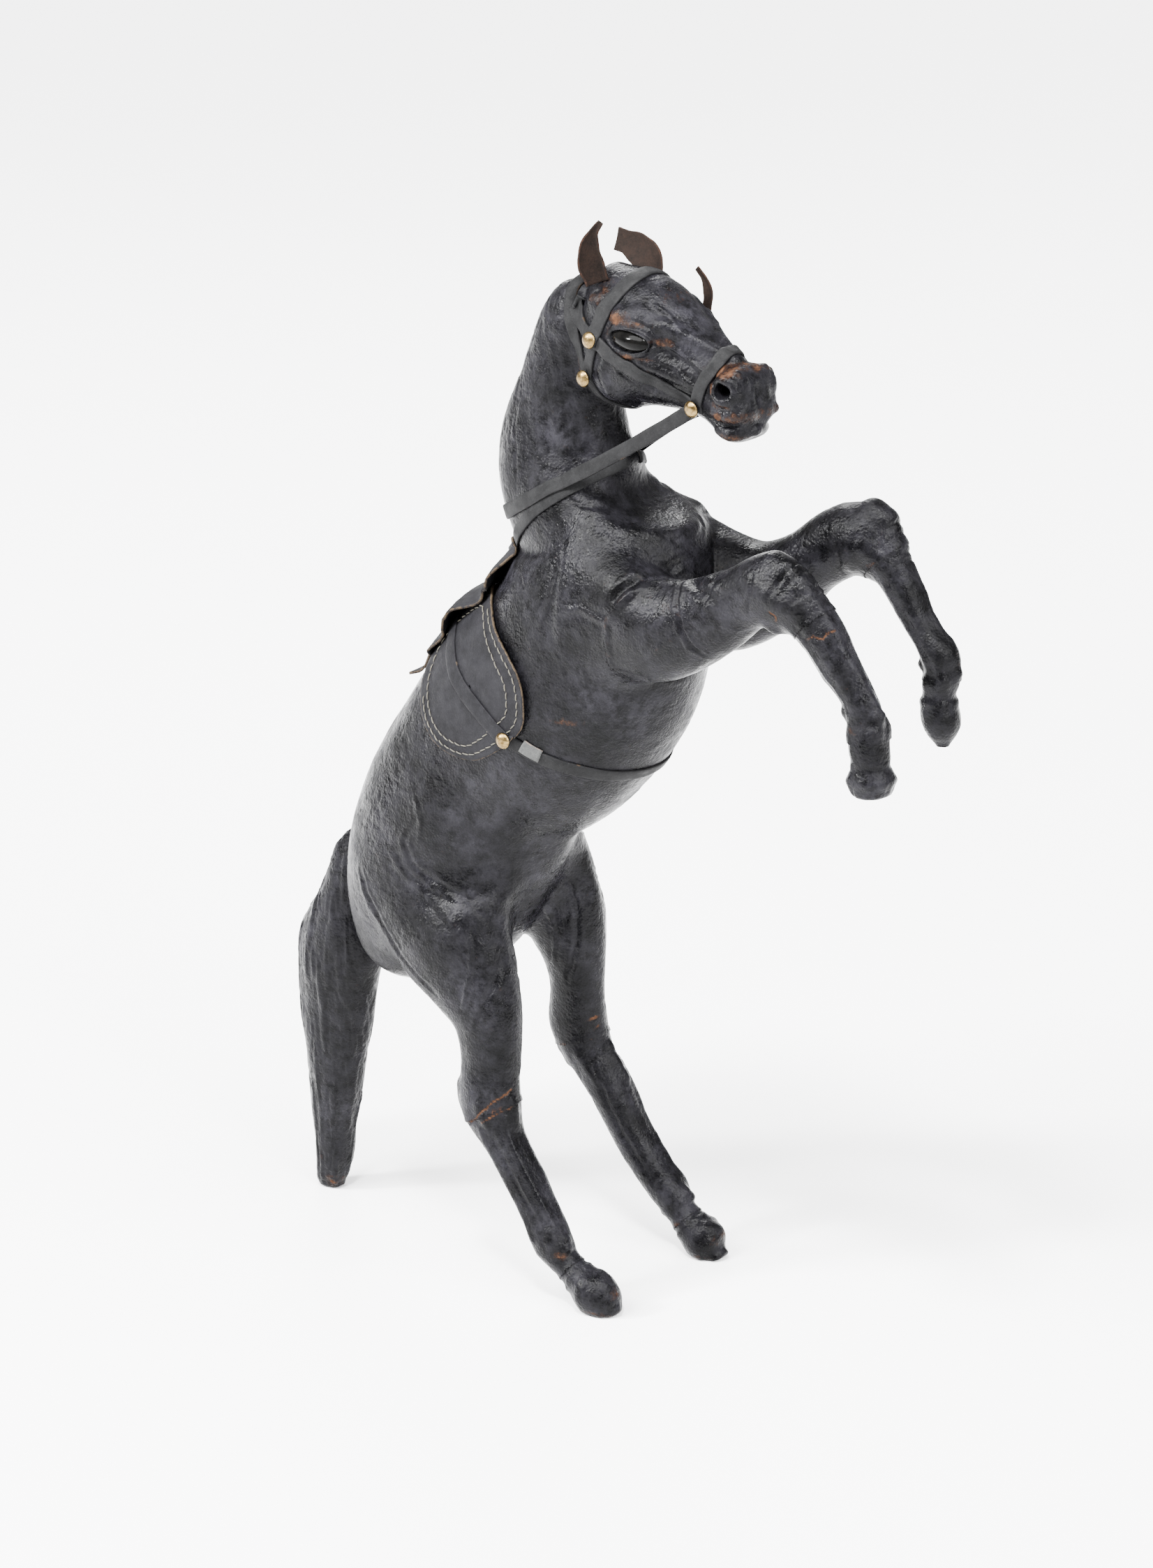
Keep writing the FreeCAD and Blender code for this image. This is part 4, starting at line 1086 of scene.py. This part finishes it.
body = body_field((-226, -76, -14), (230, 76, 614), BODY_VOXEL)
floor_gap = ((np.arange(body.shape[2]) + body.first[2]) * BODY_VOXEL).astype(np.float32)
sculpt_legs(body)
body.lumps(THROAT)
body.lumps([NAPE], turned, HEAD_TURN)
body.values = np.maximum(body.values, -floor_gap[None, None, :])
skin = Skin(*body.mesh())
wear_away(skin, WORN, skin.points)
relief(skin, 1.0)
skin.points[:, 2] = skin.points[:, 2].clip(0)
del body
panels_from(skin, [node for node in LEATHERS if node != "head_leather"], 6)

head = body_field((-40, -62, 468), (130, 44, 606), HEAD_VOXEL)
sculpt_head(head)
head_skin = Skin(*head.mesh())
wear_away(head_skin, WORN_HEAD, turned(head_skin.points, -HEAD_TURN))
relief(head_skin, 0.35)
del head
panels_from(head_skin, ["head_leather"], 10)


# ---------------------------------------------------------------- bridle
TEMPLE = (18, 538)
JAW = (12, 516)
MOUTH = (81.5, 511.5)


def lay(name, path, width, side=0, on_head=False, slot="strap_leather", **options):
    strap(name, *settled(over_body(path, side, on_head)), width, slot, **options)


lay("crown_strap", [JAW, (4, 529), (-4, 545), (-7, 558), (-4, 571), (6, 584)], 6.5, 0, True, seed=2)
for title, side in SIDES:
    lay(title + "_jaw_strap", [(19, 540), JAW], 6.8, side, True, seed=3)
lay("throat_lash", [(10, 519), JAW, (17, 506), (26, 496), (34, 486)], 6.5, 0, True, seed=4)
lay("noseband", [(82, 510), (83.5, 518), (88, 529), (96, 548)], 7.2, 0, True, seed=5)
for title, side in SIDES:
    lay(title + "_cheek_strap", [(-4, 553), (3, 545), (11, 540), TEMPLE, (48, 525), MOUTH], 7.6, side, True,
        seed=6)
lay("browband", [(17, 536), (20, 545), (25, 556), (31, 569), (38, 584)], 9.5, 0, True, seed=7)

# A stud's head from its crown down to the rolled rim: share of the radius, share of the rise.
STUD_PROFILE = [(0.0, 1.0), (0.28, 0.965), (0.52, 0.86), (0.72, 0.68), (0.87, 0.46), (0.96, 0.26),
                (1.0, 0.12), (1.0, -0.06), (0.93, -0.16), (0.5, -0.2)]
STUD_RADIUS = 4.5
STUD_RISE = 2.5
STUD_FOOT = 4.2           # its rim rests on the ground at this radius


def dome(centre, normal, seed):
    """Points and faces of one slightly dented stud head."""
    normal = unit(normal)
    side = unit(np.cross(normal, (0.1, 0.2, 1.0)))
    up = np.cross(side, normal)
    points = [centre + normal * STUD_RISE]
    steps = 40
    for r, h in STUD_PROFILE[1:]:
        for a in circle(steps):
            dent = 1 + 0.012 * math.sin(3 * a + seed) + 0.008 * math.sin(5 * a + 2 * seed)
            points.append(centre + (side * math.cos(a) + up * math.sin(a)) * STUD_RADIUS * r * dent
                          + normal * h * STUD_RISE * (1 + 0.02 * math.sin(2 * a + seed)))
    rows = len(STUD_PROFILE) - 1
    faces = [(0, 1 + k, 1 + (k + 1) % steps) for k in range(steps)]
    faces += [(a, d, c, b) for a, b, c, d in ring_faces(rows, steps, 1)]
    return points, faces + [tuple(range(1 + (rows - 1) * steps, 1 + rows * steps))]


def studs(name, places):
    points, faces = [], []
    for i, (centre, normal) in enumerate(places):
        p, f = dome(centre, normal, i)
        faces += [tuple(v + len(points) for v in face) for face in f]
        points += p
    points = np.array(points)
    piece(name, points, outward(points, faces), "brass_studs")


def stud_seat(x, z, side, on_head):
    """Where a stud sits on whatever is below it, and which way it faces."""
    around = [(x, z)] + [(x + STUD_FOOT * math.cos(a), z + STUD_FOOT * math.sin(a)) for a in circle(8)]
    found = [ground.seen(*spot, side, on_head) for spot in around]
    places, normals = zip(*[row for row in found if row[0] is not None])
    normal = unit(np.mean(normals, 0) + 1.2 * side_way(side, on_head))
    reach = max(float(np.dot(np.array(p), normal)) for p in places)
    centre = np.array(places[0])
    return centre + normal * (reach - centre @ normal - 0.3), normal


# ---------------------------------------------------------------- straps and saddle on the body
lay("breast_strap", [(52, 494), (38, 482), (27, 473), (-1, 455), (-20, 441), (-37, 424), (-52, 404),
                     (-62, 386)], 6.4, seed=8)

SEAT_SPINE = [(-46, 416), (-52, 404), (-66, 381), (-82, 361), (-96, 342), (-107, 322)]
SEAT_AXIS = 48            # the seat wraps round an axis this far inside the spine
# Waves of the seat: where along it (0 to 1), how wide, how high.
SEAT_WAVES = [(0.15, 0.11, 7.5), (0.49, 0.12, 7.5), (0.80, 0.12, 2.0), (1.02, 0.05, 6.0)]


def seat():
    """The seat: thin stiff leather lying along the back in waves, standing off it at its edges."""
    spine = smooth_path(SEAT_SPINE, 1.6)
    rows, columns = len(spine), 41
    grid = np.zeros((rows, columns, 3))
    along = unit(np.gradient(spine, axis=0))
    for i, (x, z) in enumerate(spine):
        t = i / (rows - 1)
        out = np.array([-along[i][1], 0.0, along[i][0]])
        out *= 1 if out[0] < 0 else -1
        centre = np.array([x, 0.0, z]) - out * SEAT_AXIS
        spread = 0.60 - 0.32 * smooth_step(0.55, 0.95, t)
        for j in range(columns):
            v = -1 + 2 * j / (columns - 1)
            a = v * spread * (1 + 0.10 * math.sin(9 * t + (2 if v > 0 else 0)))
            aim = unit(out * math.cos(a) + np.array([0, 1.0, 0]) * math.sin(a))
            place, _ = ground.hit(centre + aim * LOOK_FROM, -aim, LOOK_REACH)
            rise = 1.0
            for at, wide, high in SEAT_WAVES:
                rise += high * math.exp(-((t - at) / wide) ** 2) * (0.45 + 0.55 * v * v)
            rise += 0.5 * math.sin(23 * t + 3 * v) * abs(v)
            grid[i, j] = np.array(place) + aim * rise
    normals = unit(np.cross(np.gradient(grid, axis=1), np.gradient(grid, axis=0)))
    if normals[rows // 2, columns // 2] @ np.array([-1.0, 0, 0.6]) < 0:
        normals = -normals
    edge = np.zeros((rows, columns))
    edge[:, [0, -1]] = 0.55
    edge[[0, -1]] = 0.55
    two_sided("saddle_seat", grid, normals, STRAP, "saddle_leather", edge)


FLAP_OUTLINE = [(-58, 388), (-34, 374), (-16, 358), (-11, 343), (-14, 326), (-35, 308),
                (-52, 302), (-74, 306), (-90, 320), (-97, 338), (-92, 362)]
FLAP_MIDDLE = np.array([-50.0, 342.0])
FLAP_REACH = 106.0        # how far in the rays run that look for the flap's place
STITCH = 4.5              # from one stitch to the next
STITCH_ROWS = ((4.3, 2.8), (11.4, 7.0))  # how far in from the flap's edge, in front and behind
THREAD_RADIUS = 0.35


def closed_path(points, pitch):
    """An evenly spaced closed curve through the points, its first point not repeated."""
    points = [np.asarray(p, float) for p in points]
    line = smooth_path(points[-3:] + points + points[:4], 0.5)
    gap = np.linalg.norm(line - points[0], axis=1)
    at = np.arange(len(line)) / len(line)
    start = np.argmin(gap + 1e3 * (at > 0.35))
    stop = np.argmin(gap + 1e3 * (at < 0.55))
    return evened(line[start:stop + 1], pitch)[:-1]


def flap(title, side):
    outline = closed_path(FLAP_OUTLINE, 1.4)
    rings = 34
    grid = np.zeros((rings, len(outline), 3))
    normals = np.zeros_like(grid)
    stand_off = np.zeros((rings, len(outline)))
    for i in range(rings):
        share = i / (rings - 1)
        for j, corner in enumerate(outline):
            x, z = FLAP_MIDDLE + (corner - FLAP_MIDDLE) * max(share, 0.02)
            place, normal = ground.seen(x, z, side, reach=FLAP_REACH)
            if place is None:
                place, normal = ground.nearest((x, side * 4, z))
            front = smooth_step(-45, -15, corner[0])
            stand_off[i, j] = share ** 7 * (0.5 + 1.3 * front)
            grid[i, j] = place
            normals[i, j] = normal
    for _ in range(6):
        normals[1:-1] = unit(normals[:-2] + normals[2:] + normals[1:-1]
                             + np.roll(normals[1:-1], 1, 1) + np.roll(normals[1:-1], -1, 1))
    grid = grid + normals * (STRAP / 2 + 0.25 + stand_off)[..., None]
    edge = np.zeros((rings, len(outline)))
    edge[-1] = 0.6
    ground.add(*two_sided(title + "_saddle_flap", grid, normals, STRAP, "saddle_leather", edge, True))


def inset_path(outline, gap):
    ahead = np.roll(outline, -3, 0) - np.roll(outline, 3, 0)
    inward = unit(np.stack([ahead[:, 1], -ahead[:, 0]], 1))
    if np.mean((np.mean(outline, 0) - outline) * inward) < 0:
        inward = -inward
    return outline + inward * gap


def stitches(title, side):
    """Two rows of long hand stitches round the flap, each stitch a short arched thread."""
    outline = closed_path(FLAP_OUTLINE, 1.0)
    rows = []
    random = np.random.default_rng(5)
    for gap_front, gap_back in STITCH_ROWS:
        front = smooth_step(-60, -20, outline[:, 0])[:, None]
        row = inset_path(outline, 1.0) - outline
        row = outline + row * (gap_back + (gap_front - gap_back) * front)
        row = evened(np.concatenate([row, row[:1]]), STITCH)
        for a, b in zip(row, row[1:]):
            middle = (a + b) / 2
            if middle[1] > 383 - 0.9 * max(0, -middle[0] - 60) or middle[0] < -91:
                continue
            along = unit(b - a)
            across = np.array([-along[1], along[0]])
            jitter = random.normal(0, 0.16, 2)
            a = a + along * 0.28 + across * (0.3 + jitter[0])
            b = b - along * 0.28 - across * (0.3 + jitter[1])
            line = []
            for t in np.linspace(0, 1, 7):
                place, normal = ground.seen(*(a + (b - a) * t), side, reach=FLAP_REACH)
                if place is None:
                    break
                rise = 0.42 * math.sin(math.pi * t) ** 0.5 - 0.12
                line.append(np.array(place) + np.array(normal) * rise)
            if len(line) == 7:
                rows.append(np.array(line))
    rods(title + "_flap_thread", rows, THREAD_RADIUS, "sewing_thread")


RIGHT_STUD = (-24, 319)
LEFT_STUD = (16, 300)
lay("girth", [RIGHT_STUD, (-8, 312), (9, 306), (30, 300), (46, 298), (70, 297)], 7.5, seed=9)
for title, side in SIDES:
    flap(title, side)
for title, side in SIDES:
    stitches(title, side)
billet = [(-90, 368), (-79, 361), (-65, 346), (-43, 332), RIGHT_STUD]
lay("right_billet", billet, 9.0, -1, slot="saddle_leather", seed=10, thick=1.1)
lay("left_billet", billet + [(-4, 309), LEFT_STUD], 9.0, 1, slot="saddle_leather", seed=11, thick=1.1)
lay("girth_keeper", [(-14.5, 317), (-9.5, 314.3), (-4.5, 312)], 7.2, -1, slot="suede", seed=12, thick=1.5)
seat()


def reins():
    """One long strap from mouth stud to mouth stud, round the back of the neck."""
    back = over_body([(-11, 455), (-25, 446), (-40, 437), (-58, 427), (-74, 416)], 0)
    _, skin_normals = settled(back)
    lines, normals = [], []
    # the near half hangs a little; the far half is drawn up behind it
    for side, at, sag in ((-1, 0, 1.8), (1, -1, -6.0)):
        stud, stud_normal = stud_seat(*MOUTH, side, True)
        stop = stud + stud_normal * 0.2
        count = int(np.linalg.norm(stop - back[at]) / 1.6)
        t = np.linspace(0, 1, count)[:, None]
        run = stop + (back[at] - stop) * t
        run[:, 2] -= (4 * t * (1 - t) * sag)[:, 0]
        run[:, 1] += (4 * t * (1 - t) * 1.5)[:, 0] * np.sign(stop[1])
        lines.append(run[:-1])
        t = np.linspace(0, 1, count - 1)[:, None]
        normals.append(unit(stud_normal * (1 - t) + skin_normals[at] * t))
    line = np.concatenate([lines[0], back, lines[1][::-1]])
    normals = np.concatenate([normals[0], skin_normals, normals[1][::-1]])
    near = np.array([np.linalg.norm(np.array(ground.nearest(p)[0]) - p) for p in line])
    at = np.arange(len(line))
    loose = (near > 2.5) | (at < 6) | (at >= len(line) - 6)
    strap("reins", blurred(line, 4), unit(blurred(normals, 8)), 7.6, "strap_leather",
          seed=13, free=loose, ends=5.0)


reins()
studs("bridle_studs", [stud_seat(*spot, side, True) for spot in (TEMPLE, JAW, MOUTH) for side in (-1, 1)])
studs("girth_studs", [stud_seat(*RIGHT_STUD, -1, False), stud_seat(*LEFT_STUD, 1, False)])


# ---------------------------------------------------------------- eyes and ears
EYE_CENTRE = (43.5, 22.5, 541.5)
EYE_RADII = (13.6, 5.4, 5.9)


def eye(title, side):
    """A dark glass eye, fuller in front, with a faint pupil bulge."""
    points = []
    rings, steps = 26, 48
    for i in range(rings + 1):
        polar = math.pi * i / rings
        bulge = 1 + 0.05 * math.exp(-(polar / 0.45) ** 2)
        r = math.sin(polar)
        for a in circle(steps):
            local = np.array([EYE_RADII[0] * r * math.cos(a), EYE_RADII[1] * math.cos(polar) * bulge * side,
                              EYE_RADII[2] * r * math.sin(a)])
            points.append(turned(np.array(EYE_CENTRE) * (1, side, 1) + local))
    points = np.array(points)
    faces = [(a, d, c, b) for a, b, c, d in ring_faces(rings + 1, steps)]
    piece(title + "_eye", points, outward(points, faces), "glass_eyes")


for title, side in SIDES:
    eye(title, side)


def curled_sheet(name, centres, widths, curls, facings, thick):
    """A leaf of leather along a line of centres, curled about the line by an angle at each."""
    middle = smooth_path(centres, 0.5)
    middle = evened(middle, np.linalg.norm(np.diff(middle, axis=0), axis=1).sum() / 39.0)
    rows, steps = len(middle), 26
    t = np.linspace(0, 1, rows)
    width, curl, *facing = [np.interp(t, np.linspace(0, 1, len(key)), key)
                            for key in (widths, np.asarray(curls, float), *zip(*facings))]
    curl = np.radians(curl)
    along = unit(np.gradient(middle, axis=0))
    across = unit(np.cross(along, np.stack(facing, 1)))
    facing = unit(np.cross(across, along))
    grid = np.zeros((rows, steps, 3))
    normals = np.zeros_like(grid)
    wear = np.zeros((rows, steps))
    for i in range(rows):
        radius = width[i] / max(curl[i], 0.05)
        for j in range(steps):
            v = -1 + 2 * j / (steps - 1)
            a = v * curl[i]
            ragged = 0.25 * math.sin(17 * t[i] + 3 * v) * abs(v) ** 3
            grid[i, j] = middle[i] + across[i] * (radius * math.sin(a) + ragged * v) \
                + facing[i] * radius * (1 - math.cos(a))
            normals[i, j] = facing[i] * math.cos(a) - across[i] * math.sin(a)
            wear[i, j] = abs(v) ** 10 * 0.3
    normals = turned(normals + np.array([POLL_X, 0, 0])) - turned((POLL_X, 0.0, 0.0))
    two_sided(name, turned(grid), unit(normals), thick, "ear_leather", wear)


curled_sheet("right_ear", [(10.5, -15.5, 564.5), (8.8, -16, 569), (7, -17, 575), (7, -17.5, 583),
                           (9.5, -17, 591), (14, -16, 597.5)],
             [7.6, 8.8, 7.8, 5.2, 2.7, 1.2], [72, 78, 62, 50, 45, 20],
             [(0.8, -0.55, 0.1), (0.75, -0.6, 0.1), (0.6, -0.75, 0.1)], 1.1)
curled_sheet("left_ear", [(24.5, 12, 564.5), (23, 13, 569.5), (18, 14, 574.5), (11, 15, 577.5),
                          (3, 15, 579.5), (-4.5, 14.5, 580.5)],
             [5.5, 8.0, 9.0, 8.0, 6.5, 6.0], [60, 45, 30, 22, 14, 10],
             [(0.45, -0.8, 0.35), (0.45, -0.85, 0.25), (0.5, -0.85, 0.1)], 1.1)
curled_sheet("left_eyelid_strip", [(47, 23.5, 538), (50, 25, 548), (52, 25.5, 558), (49, 25.5, 566),
                                   (43.5, 25, 571.5)],
             [3.6, 3.4, 3.0, 2.5, 1.2], [40, 60, 60, 40, 10],
             [(0.2, -0.9, 0.1), (0.3, -0.9, 0.0), (0.1, -0.9, -0.2)], 0.9)


# ---------------------------------------------------------------- floor, light and camera
def place_in_scene(thing, location):
    bpy.context.scene.collection.objects.link(thing)
    thing.location = location


def studio():
    world = bpy.data.worlds.new("studio")
    world.use_nodes = True
    world.node_tree.nodes["Background"].inputs["Color"].default_value = (1, 1, 1, 1)
    world.node_tree.nodes["Background"].inputs["Strength"].default_value = 0.9
    bpy.context.scene.world = world
    mesh = bpy.data.meshes.new("floor")
    mesh.from_pydata([(-9, -9, 0), (9, -9, 0), (9, 9, 0), (-9, 9, 0)], [], [(0, 1, 2, 3)])
    floor = bpy.data.objects.new("floor", mesh)
    place_in_scene(floor, (0.0, 0.0, -0.0004))
    mesh.materials.append(simple_material(
        "pale_floor", (900, 2, 0.5, (0.3, (0.90, 0.90, 0.905)), (0.7, (0.93, 0.93, 0.935))), 0.9))
    # each light: kind, where it is, how soft it is and its power
    for name, kind, place, soft, power in (("key", "SUN", (-1.3, -2.2, 2.9), 0.7, 13.0),
                                           ("fill", "SUN", (2.4, -0.4, 2.6), 0.9, 8.5),
                                           ("left_box", "AREA", (-1.5, -1.5, 1.5), 0.3, 150.0),
                                           ("top_box", "AREA", (0.3, -0.9, 2.3), 0.3, 140.0),
                                           ("right_box", "AREA", (2.0, -0.9, 1.3), 0.4, 60.0),
                                           ("rim", "AREA", (-1.3, 1.4, 1.6), 0.7, 60.0)):
        data = bpy.data.lights.new(name, kind)
        if kind == "SUN":
            data.angle = soft
        else:
            data.size = soft
        data.energy = power
        data.energy = power
        light = bpy.data.objects.new(name, data)
        place_in_scene(light, place)
        aim = Vector((0.0, 0.0, 0.3)) - Vector(place)
        light.rotation_euler = aim.to_track_quat("-Z", "Y").to_euler()


def camera():
    data = bpy.data.cameras.new("camera")
    made = bpy.data.objects.new("camera", data)
    azimuth, elevation, distance = math.radians(36.5), math.radians(19.5), 2.994
    target = Vector((-0.0535, 0.0484, 0.2585))
    back = Vector((math.sin(azimuth) * math.cos(elevation),
                   -math.cos(azimuth) * math.cos(elevation), math.sin(elevation)))
    place_in_scene(made, target + back * distance)
    made.rotation_euler = (-back).to_track_quat("-Z", "Y").to_euler()
    data.sensor_width = 36.0
    data.lens = 124.8
    data.clip_start = 0.05
    data.clip_end = 60.0
    bpy.context.scene.camera = made


for node, thing in NODES.items():
    if node.endswith("_wire"):
        thing.data.materials.clear()
        thing.data.materials.append(LOOKS["armature_wire"])
studio()
camera()
